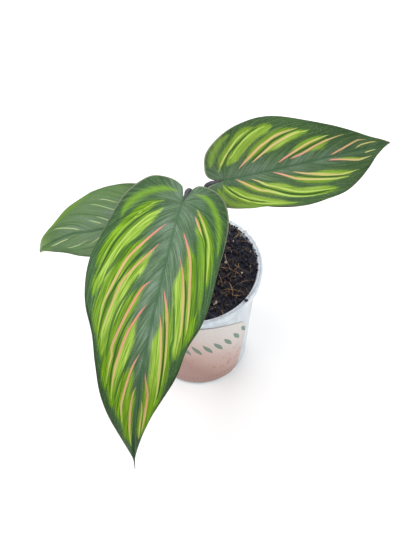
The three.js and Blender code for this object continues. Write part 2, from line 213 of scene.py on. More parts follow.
# Up the outside from the foot, over the rim, and down the inside to the floor.
profile = [(0, 0)]
profile += [
    (FOOT_R - r, z)
    for r, z in ((4.2, 0), (3.9, 0.5), (3.2, 0.5), (2.9, 0), (1.5, 0), (0.8, 0.12), (0.35, 0.55))
]
profile += [(wall_radius(z), z) for z in (1.5, 12, 24, 36, 48, 56)]
profile += [(NECK_R - 0.12, NECK_Z - 0.5), (NECK_R + 0.1, NECK_Z - 0.12), (NECK_R + 0.7, NECK_Z)]
profile += [
    (RIM_R - r, NECK_Z + z)
    for r, z in (
        (1.1, 0.12), (0.45, 0.35), (0.2, 0.8), (0.22, 1.35), (0.5, 1.6), (0.52, 1.95),
        (0.14, 2.25), (0, 2.7), (0.06, 3.2), (0.3, 3.56),
    )
]
profile += [
    (RIM_R - r, POT_HEIGHT - z)
    for r, z in (
        (0.65, 0), (0.98, 0.1), (1.12, 0.4), (1.35, 0.42), (1.5, 0.12), (1.8, 0.04),
        (2.1, 0.25), (2.3, 0.8), (2.45, 1.6),
    )
]
profile += [(inside(NECK_Z) + 0.55, NECK_Z + 0.6), (inside(NECK_Z) + 0.2, NECK_Z + 0.1)]
profile += [(inside(z), z) for z in (NECK_Z - 1, 56, 40, 20, 2.6)]
profile += [(inside(2) - 0.45, FLOOR + 0.4), (inside(2) - 1.4, FLOOR), (0, FLOOR)]
cup = make_piece("pot_cup", *turn(profile, POT_SIDES), [milky_pp])
points, faces = [], []
for i in range(DRAIN_HOLES):
    a = 2 * math.pi * (i + 0.5) / DRAIN_HOLES
    pin, sides = turn([(0, -2), (DRAIN_R, -2), (DRAIN_R, 4), (0, 4)], 32)
    cx, cy = DRAIN_RING_R * math.cos(a), DRAIN_RING_R * math.sin(a)
    faces += [[k + len(points) for k in f] for f in sides]
    points += [(x + cx, y + cy, z) for x, y, z in pin]
drill = make_piece("drill", points, faces, [milky_pp])
cut = cup.modifiers.new("drain", "BOOLEAN")
cut.object, cut.solver = drill, "EXACT"
settle(cup)
bpy.data.objects.remove(drill)
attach(cup, "root")
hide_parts("pot")


# ---------------------------------------------------------------------------------------
# Sticker. Coated paper wrapped round the front of the cup and stuck to it: cream above,
# dusty pink below, with rounded corners. Its print is a plain pattern without words.
STICKER_LEFT = -151
STICKER_RIGHT_LOW = -41
STICKER_RIGHT_HIGH = -31
STICKER_LOW_Z = 2.2
STICKER_HIGH_Z = 58.4
STICKER_SAG, STICKER_SAG_POWER = 21, 3.65
STICKER_CORNER = 5
STICKER_LIFT = 0.12
STICKER_THICK = 0.2
STICKER_COLUMNS, STICKER_ROWS = 150, 70
PRINT_R = 26.5
MM_PER_DEGREE = 0.46
LEAF_CELL = 5


def sticker_point(u, v, lift):
    """A point of the sticker: u runs from its left end to its right end, v upwards."""
    width = (STICKER_RIGHT_LOW - STICKER_LEFT) * MM_PER_DEGREE
    side = min(width * u, width - width * u)
    bend = max(STICKER_CORNER - side, 0)
    drop = STICKER_CORNER - math.sqrt(STICKER_CORNER**2 - bend**2)
    low = STICKER_LOW_Z + drop
    high = STICKER_HIGH_Z - STICKER_SAG * u**STICKER_SAG_POWER - drop
    z = low + (high - low) * v
    share = (z - STICKER_LOW_Z) / (STICKER_HIGH_Z - STICKER_SAG - STICKER_LOW_Z)
    end = STICKER_RIGHT_LOW + (STICKER_RIGHT_HIGH - STICKER_RIGHT_LOW) * share
    a = math.radians(STICKER_LEFT + (end - STICKER_LEFT) * u)
    r = wall_radius(z) + lift
    return (r * math.cos(a), r * math.sin(a), z)


def lay_map(mesh, name, places):
    """Gives a mesh a UV map from one place for each of its points."""
    corners = np.zeros(len(mesh.loops), dtype=np.int32)
    mesh.loops.foreach_get("vertex_index", corners)
    flat = np.array(places, dtype=np.float32)[corners].ravel()
    mesh.uv_layers.new(name=name).uv.foreach_set("vector", flat)


# Coated paper: smooth and half dull, with a faint grain of fibres, printed in soft tones: a
# row of slanting dark green leaf shapes and, under it, thin pink rings and a line of specks.
paper, t, place = new_material("coated_printed_paper")
print_map = add(t, "UVMap", uv_map="print")
at = add(t, "SeparateXYZ", print_map)
along, height = at.outputs["X"], at.outputs["Y"]
fibres = add(t, "TexNoise", place, Scale=1400, Detail=3)
blotch = add(t, "TexNoise", place, Scale=60, Detail=3)
level = add(t, "Math", height, 17, 0.34, operation="MULTIPLY_ADD")
level = add(t, "Math", along, -16.0, level, operation="MULTIPLY_ADD")
level = add(t, "Math", blotch, 0.14, level, operation="MULTIPLY_ADD")
ground = add(
    t, "ValToRGB", level,
    ramp=(
        (0.0, "#a27e74"), (0.16, "#b39185"), (0.38, "#c4aba3"), (0.55, "#cbc0ba"), (0.8, "#d2ccc7"),
    ),
)
grain = add(t, "ValToRGB", fibres, ramp=((0.35, 0.9), (0.65, 1.0)))
ground = add(t, "Mix", Factor=1, A=ground, B=grain, data_type="RGBA", blend_type="MULTIPLY")
# Leaf shapes: in each cell of 5 mm, a slanting lens 5.8 mm tall and 2.5 mm wide.
lift_from = add(t, "Math", height, 0.0365, operation="SUBTRACT")
slant = add(t, "Math", lift_from, -0.45, along, operation="MULTIPLY_ADD")
cell = add(t, "Math", slant, LEAF_CELL * MM, operation="PINGPONG")
off = add(t, "Math", cell, LEAF_CELL * MM / 2, operation="SUBTRACT")
off = add(t, "Math", off, operation="ABSOLUTE")
tall = add(t, "Math", lift_from, 200, operation="MULTIPLY")
tall = add(t, "Math", tall, 2, operation="POWER")
lens_edge = add(t, "Math", off, 780, tall, operation="MULTIPLY_ADD")
leaf_shapes = add(t, "ValToRGB", lens_edge, ramp=((0.86, 0.85), (0.96, 0.0)))
tone = add(t, "Mix", Factor=leaf_shapes, A=ground, B="#3f6b58", data_type="RGBA")
# Rings: thin circles round scattered points, only in a band of the lower half.
round_spots = add(t, "TexVoronoi", print_map, Scale=165, Randomness=0.75)
ring = add(t, "ValToRGB", round_spots, ramp=((0.31, 0.0), (0.34, 0.6), (0.37, 0.6), (0.40, 0.0)))
band = add(t, "MapRange", height, From_Min=0.012, From_Max=0.03)
band = add(t, "ValToRGB", band, ramp=((0.02, 0.0), (0.1, 1.0), (0.8, 1.0), (0.9, 0.0)))
ring = add(t, "Math", ring, band, operation="MULTIPLY")
tone = add(t, "Mix", Factor=ring, A=tone, B="#a06a66", data_type="RGBA")
# Specks: a line of small dark dashes just above the lower edge.
low_line = add(t, "Math", height, 0.0068, operation="SUBTRACT")
low_line = add(t, "Math", low_line, operation="ABSOLUTE")
dash = add(t, "Math", along, 0.0011, operation="PINGPONG")
speck = add(t, "Math", low_line, dash, operation="MAXIMUM")
speck = add(t, "Math", speck, 1000, operation="MULTIPLY")
speck = add(t, "ValToRGB", speck, ramp=((0.38, 0.7), (0.5, 0.0)))
tone = add(t, "Mix", Factor=speck, A=tone, B="#5d474a", data_type="RGBA")
bump = add(t, "Bump", Height=fibres, Strength=0.12, Distance=0.0001)
skin = add(t, "BsdfPrincipled", Base_Color=tone, Roughness=0.46, Normal=bump)
add(t, "OutputMaterial", skin)

points, prints, quads = [], [], []
for lift in (STICKER_LIFT + STICKER_THICK, STICKER_LIFT):
    for i in range(STICKER_COLUMNS + 1):
        u = 0.5 - 0.5 * math.cos(math.pi * i / STICKER_COLUMNS)
        for j in range(STICKER_ROWS + 1):
            x, y, z = sticker_point(u, j / STICKER_ROWS, lift)
            points.append((x, y, z))
            prints.append((PRINT_R * MM * math.atan2(-y, x), z * MM))
# Quads by column, row and side of the paper: its front, its back and its four cut edges.
for i in range(STICKER_COLUMNS):
    for j in range(STICKER_ROWS):
        quads.append(((i, j, 0), (i + 1, j, 0), (i + 1, j + 1, 0), (i, j + 1, 0)))
        quads.append(((i, j, 1), (i, j + 1, 1), (i + 1, j + 1, 1), (i + 1, j, 1)))
    for j, a, b in ((0, 1, 0), (STICKER_ROWS, 0, 1)):
        quads.append(((i, j, a), (i + 1, j, a), (i + 1, j, b), (i, j, b)))
for j in range(STICKER_ROWS):
    for i, a, b in ((0, 0, 1), (STICKER_COLUMNS, 1, 0)):
        quads.append(((i, j, a), (i, j + 1, a), (i, j + 1, b), (i, j, b)))
faces = [
    [(side * (STICKER_COLUMNS + 1) + i) * (STICKER_ROWS + 1) + j for i, j, side in quad]
    for quad in quads
]
label = make_piece("sticker_sheet", points, faces, [paper])
lay_map(label.data, "print", prints)
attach(label, "root")
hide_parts("sticker")


# ---------------------------------------------------------------------------------------
# Peat. A plug of dark, moist potting peat that fills the cup almost to the rim, pressed by
# hand. Crumbs, curled fibres and light grains lie loose on it, and some lie on the lip.
SOIL_TOP_Z = 62.7
SOIL_EDGE_R = 27.3
SOIL_DOME = 0.4
SOIL_DROP = 0.3
SOIL_GAP = 0.3
SOIL_RELIEF = 0.7
SOIL_BANK, SOIL_BANK_TO = 0.6, (0.64, 0.77)
SOIL_SINK, SOIL_SINK_WIDE = 0.3, 3
SOIL_RINGS, SOIL_SIDES = 56, 200
FIBRE_STEPS = 11
FULL_TURN = 6.283
LIP_CRUMB_AT = (21.4, -19.8, 64.5)
LIP_CRUMB_SIZE = (2.2, 1.8, 1.3)

# Peat moss: nearly black and faintly blue where it is wet, browner where it is dry. The raised tops
# of the lumps are painted lighter: partly brown peat, partly painted highlight.
peat, t, place = new_material("moist_crumbly_peat")
lumps = add(t, "TexNoise", place, Scale=620, Detail=6, Roughness=0.72)
damp = add(t, "TexNoise", place, Scale=110, Detail=3)
# Lighter where the lumps rise, on the noise that also makes the bump: brown peat and painted
# highlight.
peat_and_lump_highlights = add(
    t, "ValToRGB", lumps,
    ramp=(
        (0.36, "#080b18"), (0.5, "#171b2b"), (0.58, "#292b38"), (0.66, "#464145"),
        (0.78, "#75675a"),
    ),
)
wetter = add(t, "ValToRGB", damp, ramp=((0.4, 0.0), (0.62, 0.7)))
tone = add(t, "Mix", Factor=wetter, A=peat_and_lump_highlights, B="#101529", data_type="RGBA")
bump = add(t, "Bump", Height=lumps, Strength=0.9, Distance=0.0009)
skin = add(
    t, "BsdfPrincipled", Base_Color=tone, Roughness=0.58, Specular_IOR_Level=0.45, Normal=bump
)
add(t, "OutputMaterial", skin)

# The loose bits, each with the size of its pattern, its detail, its shades, how dull it is
# and how strongly it mirrors.
loose = {}
for name, scale, detail, shades, dull, mirror in (
    # Dry bark chips: brown and rough, broken by hand.
    ("dry_broken_bark", 480, 4, ((0.35, "#1e1a1c"), (0.52, "#3b302c"), (0.68, "#665244")),
     0.8, 0.3),
    # Root and coir fibres: tan, smooth and thin, paler where they have dried.
    ("dry_coir_fibre", 260, 2, ((0.35, "#4b3522"), (0.5, "#93704a"), (0.66, "#c9a873")),
     0.6, 0.5),
    # Perlite: expanded volcanic glass, off-white and chalky with fine pits.
    ("expanded_perlite", 2200, 2, ((0.35, "#8d7f6c"), (0.6, "#cfc4ac")), 0.8, 0.5),
):
    loose[name], t, place = new_material(name)
    patches = add(t, "TexNoise", place, Scale=scale, Detail=detail)
    tone = add(t, "ValToRGB", patches, ramp=shades)
    skin = add(t, "BsdfPrincipled", Base_Color=tone, Roughness=dull, Specular_IOR_Level=mirror)
    add(t, "OutputMaterial", skin)

# Low hills and dents: where each lies, how wide it is and how high.
draws = np.random.default_rng(11)
hills = draws.uniform((-26, -26, 1.0, -0.6), (26, 26, 4.2, 0.8), (320, 4))


def soil_height(x, y):
    """The peat's top surface: a low dome with dents and lumps, a little lower at the wall and
    banked up on one side."""
    r = math.hypot(x, y)
    base = SOIL_TOP_Z + SOIL_DOME * (1 - (r / SOIL_EDGE_R) ** 2)
    d2 = (hills[:, 0] - x) ** 2 + (hills[:, 1] - y) ** 2
    relief = float((hills[:, 3] * np.exp(-d2 / hills[:, 2] ** 2)).sum())
    sink = SOIL_SINK * max(0.0, 1 - (SOIL_EDGE_R - r) / SOIL_SINK_WIDE) ** 2
    toward = (SOIL_BANK_TO[0] * x + SOIL_BANK_TO[1] * y) / SOIL_EDGE_R
    bank = SOIL_BANK * max(0.0, toward) ** 2
    return base + SOIL_RELIEF * relief + bank - sink - SOIL_DROP


points, rings = [(0, 0, soil_height(0, 0))], [[0] * SOIL_SIDES]
levels = [(SOIL_EDGE_R * k / SOIL_RINGS, None) for k in range(1, SOIL_RINGS + 1)]
# The plug rounds over at the wall and then follows the inside of the cup down.
levels += [(27.0, 61.4), (26.35, 60.2)]
for z in (55.5, 50, 40, 20, 6, 2.6, FLOOR + SOIL_GAP):
    levels.append((inside(z) - SOIL_GAP - (0 if z > 3 else 0.6 if z > 2 else 1.8), z))
for r, z in levels:
    rings.append(list(range(len(points), len(points) + SOIL_SIDES)))
    for i in range(SOIL_SIDES):
        a = 2 * math.pi * i / SOIL_SIDES
        x, y = r * math.cos(a), r * math.sin(a)
        points.append((x, y, soil_height(x, y) if z is None else z))
points.append((0, 0, FLOOR + SOIL_GAP))
rings.append([len(points) - 1] * SOIL_SIDES)
faces = []
for high, low in zip(rings, rings[1:]):
    for i in range(SOIL_SIDES):
        j = (i + 1) % SOIL_SIDES
        faces.append(list(dict.fromkeys((low[i], low[j], high[j], high[i]))))
plug = make_piece("peat_plug", points, faces, [peat])
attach(plug, "root")
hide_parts("soil")
# The top of the peat, without its outermost millimetre, is the bed that bits are strewn on.
bed = bpy.data.meshes.new("peat_bed")
bed.from_pydata(
    [tuple(c * MM for c in p) for p in points[: rings[SOIL_RINGS - 1][0]]], [],
    faces[: SOIL_SIDES * (SOIL_RINGS - 2)],
)

# One tree strews any bit over a bed: the bit is copied to random points, each copy is turned
# and sized, and all become one plain mesh.
strew = bpy.data.node_groups.new("strew_bits", "GeometryNodeTree")
for entry, kind in (
    ("Bed", "Geometry"), ("Bit", "Object"), ("Bits per square metre", "Float"),
    ("Smallest", "Float"), ("Largest", "Float"), ("Tilt", "Float"), ("Lift", "Float"),
    ("Seed", "Int"), ("Finish", "Material"),
):
    strew.interface.new_socket(entry, in_out="INPUT", socket_type="NodeSocket" + kind)
strew.interface.new_socket("Bits", in_out="OUTPUT", socket_type="NodeSocketGeometry")
given = add(strew, "NodeGroupInput").outputs
strewn = add(
    strew, "GeometryNodeDistributePointsOnFaces", Mesh=given["Bed"],
    Density=given["Bits per square metre"], Seed=given["Seed"],
)
bit = add(strew, "GeometryNodeObjectInfo", given["Bit"])
least = add(strew, "Math", given["Tilt"], -1.0, operation="MULTIPLY")
turn_low = add(strew, "CombineXYZ", least, least, 0)
turn_high = add(strew, "CombineXYZ", given["Tilt"], given["Tilt"], FULL_TURN)
turned = add(
    strew, "FunctionNodeRandomValue", Min=turn_low, Max=turn_high, Seed=given["Seed"],
    data_type="FLOAT_VECTOR",
)
sized = add(
    strew, "FunctionNodeRandomValue", Min=given["Smallest"], Max=given["Largest"],
    Seed=given["Seed"], data_type="FLOAT",
)
spread = add(
    strew, "GeometryNodeInstanceOnPoints", Points=strewn, Instance=bit.outputs["Geometry"],
    Rotation=turned, Scale=sized,
)
up_by = add(strew, "CombineXYZ", 0, 0, given["Lift"])
raised = add(
    strew, "GeometryNodeTranslateInstances", Instances=spread, Translation=up_by, Local_Space=False
)
plain = add(strew, "GeometryNodeRealizeInstances", raised)
painted = add(strew, "GeometryNodeSetMaterial", plain, Material=given["Finish"])
add(strew, "NodeGroupOutput", Bits=painted)


def crumb_form(seed):
    """A small rough lump of twenty faces, one unit across."""
    own = np.random.default_rng(seed)
    form = bmesh.new()
    bmesh.ops.create_icosphere(form, subdivisions=1, radius=0.5)
    for vert in form.verts:
        vert.co *= 1 + own.uniform(-0.35, 0.35)
        vert.co.z *= 0.75
    mesh = bpy.data.meshes.new("crumb_form")
    form.to_mesh(mesh)
    form.free()
    return mesh


def fibre_form(seed, bend):
    """A thin bent root fibre of forty-odd faces, about one unit long."""
    own = np.random.default_rng(seed)
    heading, tilt, at, upward = 0.0, 0.0, np.zeros(3), np.array([0, 0, 1])
    points, faces = [], []
    for k in range(FIBRE_STEPS + 1):
        thick = 0.012 * (1 - 0.5 * k / FIBRE_STEPS)
        ahead = np.array([math.cos(heading), math.sin(heading), 0.5 * math.sin(tilt)])
        aside = np.array([-ahead[1], ahead[0], 0])
        for a in range(4):
            angle = math.pi / 2 * a
            points.append(at + thick * (aside * math.cos(angle) + upward * math.sin(angle)))
        at = at + ahead / FIBRE_STEPS
        heading += bend + own.uniform(-0.35, 0.35)
        tilt += own.uniform(-0.7, 0.8)
    last = 4 * FIBRE_STEPS
    for k in range(0, last, 4):
        for a in range(4):
            b = (a + 1) % 4
            faces.append((k + a, k + b, k + 4 + b, k + 4 + a))
    faces += [(3, 2, 1, 0), (last, last + 1, last + 2, last + 3)]
    mesh = bpy.data.meshes.new("fibre_form")
    mesh.from_pydata([tuple(p - at / 2) for p in points], [], faces)
    return mesh


# The lip's inner slope, along the part where crumbs of peat were left on it.
LIP_FROM, LIP_TO, LIP_STEPS = -12, 62, 24
points = []
for i in range(LIP_STEPS + 1):
    a = math.radians(LIP_FROM + (LIP_TO - LIP_FROM) * i / LIP_STEPS)
    for r, z in ((27.3, 63.0), (28.0, 63.85)):
        points.append((r * math.cos(a) * MM, r * math.sin(a) * MM, z * MM))
lip_slope = bpy.data.meshes.new("lip_slope")
lip_slope.from_pydata(
    points, [], [(i, i + 1, i + 3, i + 2) for i in range(0, 2 * LIP_STEPS, 2)]
)

# Each kind of bit with its bed, form and seed, how many lie on a square metre, its smallest
# and largest size, how far it may tilt and how high it lies.
bark, coir, perlite = loose.values()
for name, ground, form, seed, density, sizes, tilt, lift, finish in (
    ("peat_crumbs", bed, crumb_form(3), 5, 750000.0, (0.0006, 0.0026), 3.1, 0.0003, peat),
    ("bark_chips", bed, crumb_form(6), 9, 95000.0, (0.0005, 0.0019), 3.1, 0.0006, bark),
    ("coir_fibres", bed, fibre_form(2, 0.1), 14, 30000.0, (0.005, 0.012), 0.25, 0.0014, coir),
    ("root_fibres", bed, fibre_form(5, -0.25), 31, 40000.0, (0.003, 0.008), 0.5, 0.0012, coir),
    ("perlite_grains", bed, crumb_form(8), 21, 9000.0, (0.0006, 0.0016), 3.1, 0.0012, perlite),
    ("lip_crumbs", lip_slope, crumb_form(4), 3, 650000.0, (0.0005, 0.0015), 3.1, 0.0001, peat),
    ("lip_chips", lip_slope, crumb_form(9), 8, 300000.0, (0.0005, 0.0014), 3.1, 0.0002, bark),
):
    bit = bpy.data.objects.new("bit_form", form)
    holder = bpy.data.objects.new(name, ground)
    for each in (bit, holder):
        bpy.context.collection.objects.link(each)
    values = {
        "Bit": bit, "Bits per square metre": density, "Smallest": sizes[0], "Largest": sizes[1],
        "Tilt": tilt, "Lift": lift, "Seed": seed, "Finish": finish,
    }
    maker = holder.modifiers.new("maker", "NODES")
    maker.node_group = strew
    for item in strew.interface.items_tree:
        if item.in_out == "INPUT" and item.name in values:
            maker[item.identifier] = values[item.name]
    mesh = settle(holder)
    mesh.materials.clear()
    mesh.materials.append(finish)
    bpy.data.objects.remove(bit)
    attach(holder, "root")

# One crumb of peat lies on the lip, where it fell while the plant was potted.
mesh = crumb_form(17)
mesh.name = "lip_crumb"
mesh.materials.append(peat)
for vert in mesh.vertices:
    vert.co = [(at + size * c) * MM for at, size, c in zip(LIP_CRUMB_AT, LIP_CRUMB_SIZE, vert.co)]
crumb = bpy.data.objects.new("lip_crumb", mesh)
bpy.context.collection.objects.link(crumb)
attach(crumb, "root")


# ---------------------------------------------------------------------------------------
# Blades. Each is one thin sheet of leaf tissue: its side veins sweep from the midrib to
# the margin, and the coloured marks lie along them as if brushed on. The flat pattern is
# measured along the midrib from the base, and out from it to either side.
BLADE_THICK = 0.42
BLADE_ROWS = 520
BLADE_COLUMNS = 26
STROKE_STEPS = 36
RIB_SPACING, RIB_HEIGHT = 2.6, 0.07
FOLD_SPACING, FOLD_HEIGHT = 7.3, 0.16
CHANNEL_HALF, CHANNEL_DEPTH = 0.5, 0.22

FRONT_LEAF = {
    "midrib": (
        (1.3, -6.1, 119), (-2.5, -18.9, 122), (-7.8, -40.6, 122), (-12.7, -57.3, 117),
        (-17.6, -73.1, 108.2), (-21.4, -82.9, 97.3), (-23.3, -90.8, 87), (-23.9, -95.7, 77.1),
    ),
    "across": ((0.97, -0.22, 0), (0.97, -0.22, 0)),
    "half_width": 23.6, "rise": (0.35, 0.12), "fall": (0.5, 0.25), "wave": (0.5, 3.2, 0.6, 2.4),
    "age": 0.0, "pale": 0.0, "sheen_reach_mm": 10.0, "lime_share": 1.6, "dry_tip": 4.6,
    "plus": (
        6.4, 0, 1, 1.3, -1.8, 2.2, -2.4, 4.9, 0.7, 11.5, 5.9, 15.8, 13.8, 18.3, 23.6, 18.7, 35.5,
        18.1, 47.3, 17.7, 56.2, 16.2, 64, 13.4, 72.9, 11.8, 80.8, 9, 89.7, 5.7, 98.5, 2.7, 106.4,
        0.6, 112.3, 0,
    ),
    "minus": (
        6.4, 0, 1.2, -1.5, -2, -3, -3.8, -7.9, -2.4, -14.4, 3.9, -18.7, 11.8, -21.7, 22.7, -23.6,
        32.5, -25.1, 41.4, -26.5, 49.3, -25.7, 56.2, -23.5, 65, -19.1, 74.9, -16.1, 83.8, -13.1,
        90.6, -9.4, 98.5, -4.3, 105.9, -0.6, 112.3, 0,
    ),
}
RIGHT_LEAF = {
    "midrib": (
        (10.1, 4.5, 110.5), (22.3, 4, 113.5), (35.6, 5, 115.1), (50.9, 9.6, 113.5),
        (67.3, 16.7, 109.5), (83.6, 24.3, 104.9),
    ),
    "across": ((-0.1, 0.95, 0.1), (-0.2, 0.95, 0.2)),
    "half_width": 19.4, "rise": (0.4, 0.15), "fall": (0.12, 0.05), "wave": (0.4, 2.6, 1.2, 4),
    "age": 0.5, "pale": 0.05, "sheen_reach_mm": 7.0, "lime_share": 1.0, "dry_tip": 1.6,
    "plus": (
        4.6, 0, 0.6, 1.2, -1.2, 2.5, -1.8, 5.6, -0.4, 11.4, 5.4, 16.9, 12.3, 20.6, 19.7, 22.5, 27.6,
        22.2, 36.8, 20.2, 45.9, 17.1, 55.1, 12.9, 63.3, 8.6, 70, 4.7, 75.6, 2, 79, 0,
    ),
    "minus": (
        4.6, 0, 0.6, -1.2, -1.2, -2.7, -1.5, -6.1, 1.4, -11.7, 6.9, -15.7, 13.3, -18.2, 20.4, -19,
        29, -21, 37.8, -19.7, 43.9, -18.6, 52.1, -14.7, 60.9, -9.7, 67.4, -5.4, 73.5, -2.2, 79, 0,
    ),
}
LEFT_LEAF = {
    "midrib": (
        (-8.2, 0.5, 99.5), (-18.1, -5.1, 102.5), (-27.2, -7.7, 103.5), (-36, -8.6, 103),
        (-44.4, -8, 101.3), (-51.6, -8, 98), (-57.2, -7.3, 93.2), (-60, -5, 87.5),
    ),
    "across": ((-0.1, -0.95, -0.15), (-0.1, -0.95, -0.25)),
    "half_width": 19, "rise": (0.2, 0.15), "fall": (0.4, 0.05), "wave": (0.4, 2.2, 3, 0.5),
    "age": 0.2, "pale": 0.8, "sheen_reach_mm": 14.0, "lime_share": 1.0, "dry_tip": 1.8,
    "plus": (
        4.5, 0, 0.6, 1.2, -1.4, 2.4, -3, 5.5, -1.6, 9.6, 4, 12.2, 12, 13.4, 21, 12.9, 31.5, 10.6,
        39, 8.7, 46, 5.6, 52, 2.6, 56.5, 1, 61, 0,
    ),
    "minus": (
        4.5, 0, 0.6, -1.2, -1.4, -2.6, -3, -6.5, 0, -11, 7.5, -14.6, 14, -16.4, 21, -16.9, 28,
        -16.1, 33.5, -14.6, 38.9, -11.6, 44, -8.3, 49, -6.1, 54, -4.6, 58, -3, 60.2, -1.2, 61, 0,
    ),
}

# Marks by kind. Each has its points (along, out, along, out and so on) and its width at
# start, middle and end. A line also has its blush at start, middle and end (1 is pink, 0 is
# lime cream). Where lime spreads from it, there follow how far it does to the base side and
# to the tip side, and the part of the line's length along which it does.
FRONT_MARKS = {
    "moss": (
        ((2.4, -2.8, 3.1, -7.4, 6, -11.8, 10.3, -15.7, 14.4, -18.1, 17.6, -19, 20.8, -18.9),
         (1.2, 2.7, 1.1)),
        ((2.7, 3.3, 5.6, 8.7, 8.5, 11.1, 11.7, 13, 16.4, 15, 20.7, 15.9, 25.8, 16.6, 30.9, 16.8),
         (1.3, 1.6, 0.97)),
        ((20.4, 8.8, 23.7, 10.1, 42.5, 13.7, 52.7, 15.1), (1.1, 2, 0.64)),
    ),
    "vein": (
        ((12.2, -5.8, 16, -9.9, 23, -14.8, 29, -17.9, 34.5, -19.7, 46.1, -22.4),
         (0.41, 0.63, 0.62)),
        ((32.7, -8.2, 38.9, -11.2, 46.3, -14.1, 52.2, -15.9, 61.5, -16.8, 66.9, -16.4),
         (0.36, 0.43, 0.35)),
        ((54, -6, 61, -8.5, 64.9, -9.4, 69.7, -9.9, 78.7, -9.9, 83.2, -9.5), (0.34, 0.44, 0.34)),
        ((14.8, 7.4, 23.4, 11.1, 27.5, 12.4, 45.5, 15.4, 50.8, 15.4), (0.36, 0.43, 0.32)),
        ((40.3, 7.9, 47, 9.6, 53.8, 10.6, 62.9, 11.6, 65, 11.4), (0.34, 0.39, 0.32)),
        ((55.1, 4, 60.1, 5.2, 69.3, 6.4, 78.6, 6.9, 83.1, 6.6), (0.34, 0.4, 0.33)),
    ),
    "seam": (
        ((26.5, -9.8, 33.3, -14.5, 40.9, -17.5, 41.5, -18.1, 45.2, -19), (0.38, 0.95, 1.1)),
        ((41.8, -7.6, 48.8, -9.8, 53.4, -11.7, 58.4, -12.7, 62.7, -13, 71.3, -12.8),
         (0.34, 0.45, 0.69)),
        ((69.2, -4.5, 77.3, -6.5, 85.7, -7.5), (0.33, 0.4, 0.4)),
        ((26.8, 8.2, 31.6, 9.8, 42.8, 12.5, 49.6, 13.4, 53.8, 13.7), (0.34, 0.43, 0.64)),
        ((50.5, 6.3, 61.2, 8.3, 63.6, 8, 68.9, 8.6), (0.34, 0.39, 0.65)),
    ),
    "line": (
        ((9.2, -5.7, 13.6, -10.5, 23.2, -16.3, 28.1, -18.7, 37.2, -21.7, 41.1, -22.7),
         (0.44, 0.59, 0.23), (0.3, 0.02, 0), (1.4, 0.47), (0.1, 1.1)),
        ((12.3, -5.3, 15.3, -7.1, 19.4, -10.6, 28.7, -15.5, 44.7, -21.4, 48.2, -22.2, 51.2, -22.2),
         (0.38, 0.84, 0.53), (0.1, 0.15, 0), (0.46, 1.9), (0.1, 1.1)),
        ((19, -2.4, 35.4, -12, 41.2, -14.1, 51.9, -17, 55.8, -17.6, 64, -17.2), (0.58, 1.2, 0.71),
         (1, 0.55, 0.1), (1.8, 0.44), (0.28, 1.1)),
        ((27.9, -3.1, 30.9, -4.5, 38.1, -8.5, 41.4, -10.6, 44.8, -12.3, 49.4, -13.6, 62.5, -15.6,
         66, -15.4, 70.7, -14.8), (0.49, 1.1, 0.7), (0.9, 0.5, 0.05), (0.43, 2), (0.2, 1.1)),
        ((43, -2.6, 45.3, -4.8, 48, -6.1, 55, -8.4, 65.2, -11, 69.5, -11.4, 70.4, -10.8, 74.4,
         -11.2, 82.3, -10.9), (0.68, 1, 0.52), (1, 0.65, 0.1), (1.5, 0.41), (0.16, 1.1)),
        ((51.3, -2.6, 56, -4.8, 62.6, -7.2, 69.9, -8.4, 73.9, -8.9, 78.5, -9, 83.6, -8.7, 87.6,
         -8.2), (0.5, 1, 0.52), (1, 0.65, 0.1), (0.4, 1.8), (0.25, 1.1)),
        ((68.2, -1.8, 74.2, -3.6, 84.5, -4.7, 88.2, -4.7, 95.1, -3.7), (0.33, 1, 0.41),
         (0.8, 0.6, 0.05), (1.3, 1), (0.25, 1)),
        ((79.6, -1, 82.7, -1.5, 89.6, -1.6, 97.1, -1.2, 101.9, -0.47), (0.33, 0.87, 0.41),
         (0.4, 0.6, 0.05), (0.67, 0.2), (0.1, 1)),
        ((11.9, 6.4, 15.6, 8.6, 20.3, 10.9, 27.9, 13.6, 42.1, 15.2), (0.72, 0.81, 0.49),
         (0.6, 0.15, 0.3), (0.4, 0.4), (0.1, 1.1)),
        ((15.2, 6.4, 24.4, 10.8), (0.71, 0.92, 0.53), (0.65, 0.55, 0.2), (0.35, 0.35), (0.5, 1.1)),
        ((22.6, 3.6, 30.4, 6.9, 38.2, 9.2, 55.3, 11.9, 62.9, 11.6), (0.69, 0.99, 0.48),
         (1, 0.5, 0.2), (1.7, 0.5), (0.25, 1.1)),
        ((32.8, 4.3, 39.7, 6.9, 48.9, 9.1, 59.1, 10.3, 63.2, 10.1, 67.2, 10.3), (0.34, 0.93, 0.48),
         (0.8, 0.5, 0.2), (0.5, 2), (0.2, 1.1)),
        ((45.5, 1.6, 52.3, 4.2, 56.6, 5.3, 67.8, 7, 77.9, 7.5), (0.68, 0.86, 0.4), (1, 0.5, 0.15),
         (0.83, 0.4), (0.2, 1.1)),
        ((53.7, 2, 60.3, 4, 70.9, 5.7, 79.4, 6.3, 82.6, 6.2, 86.9, 5.7), (0.48, 0.87, 0.4),
         (0.85, 0.45, 0.05), (0.4, 2), (0.2, 1.1)),
        ((73.8, 1.2, 76.1, 1.6, 80.2, 3.2, 83.2, 3.5, 89.8, 3.5, 96.5, 2.7), (0.42, 1, 0.34),
         (0.75, 0.7, 0.25), (0.68, 0.34), (0.2, 1)),
        ((83.8, 1.7, 88.5, 2.3, 98.9, 1.9), (0.35, 0.55, 0.35), (0.35, 0.35, 0.3), (0.27, 0.14),
         (0.2, 1)),
    ),
}
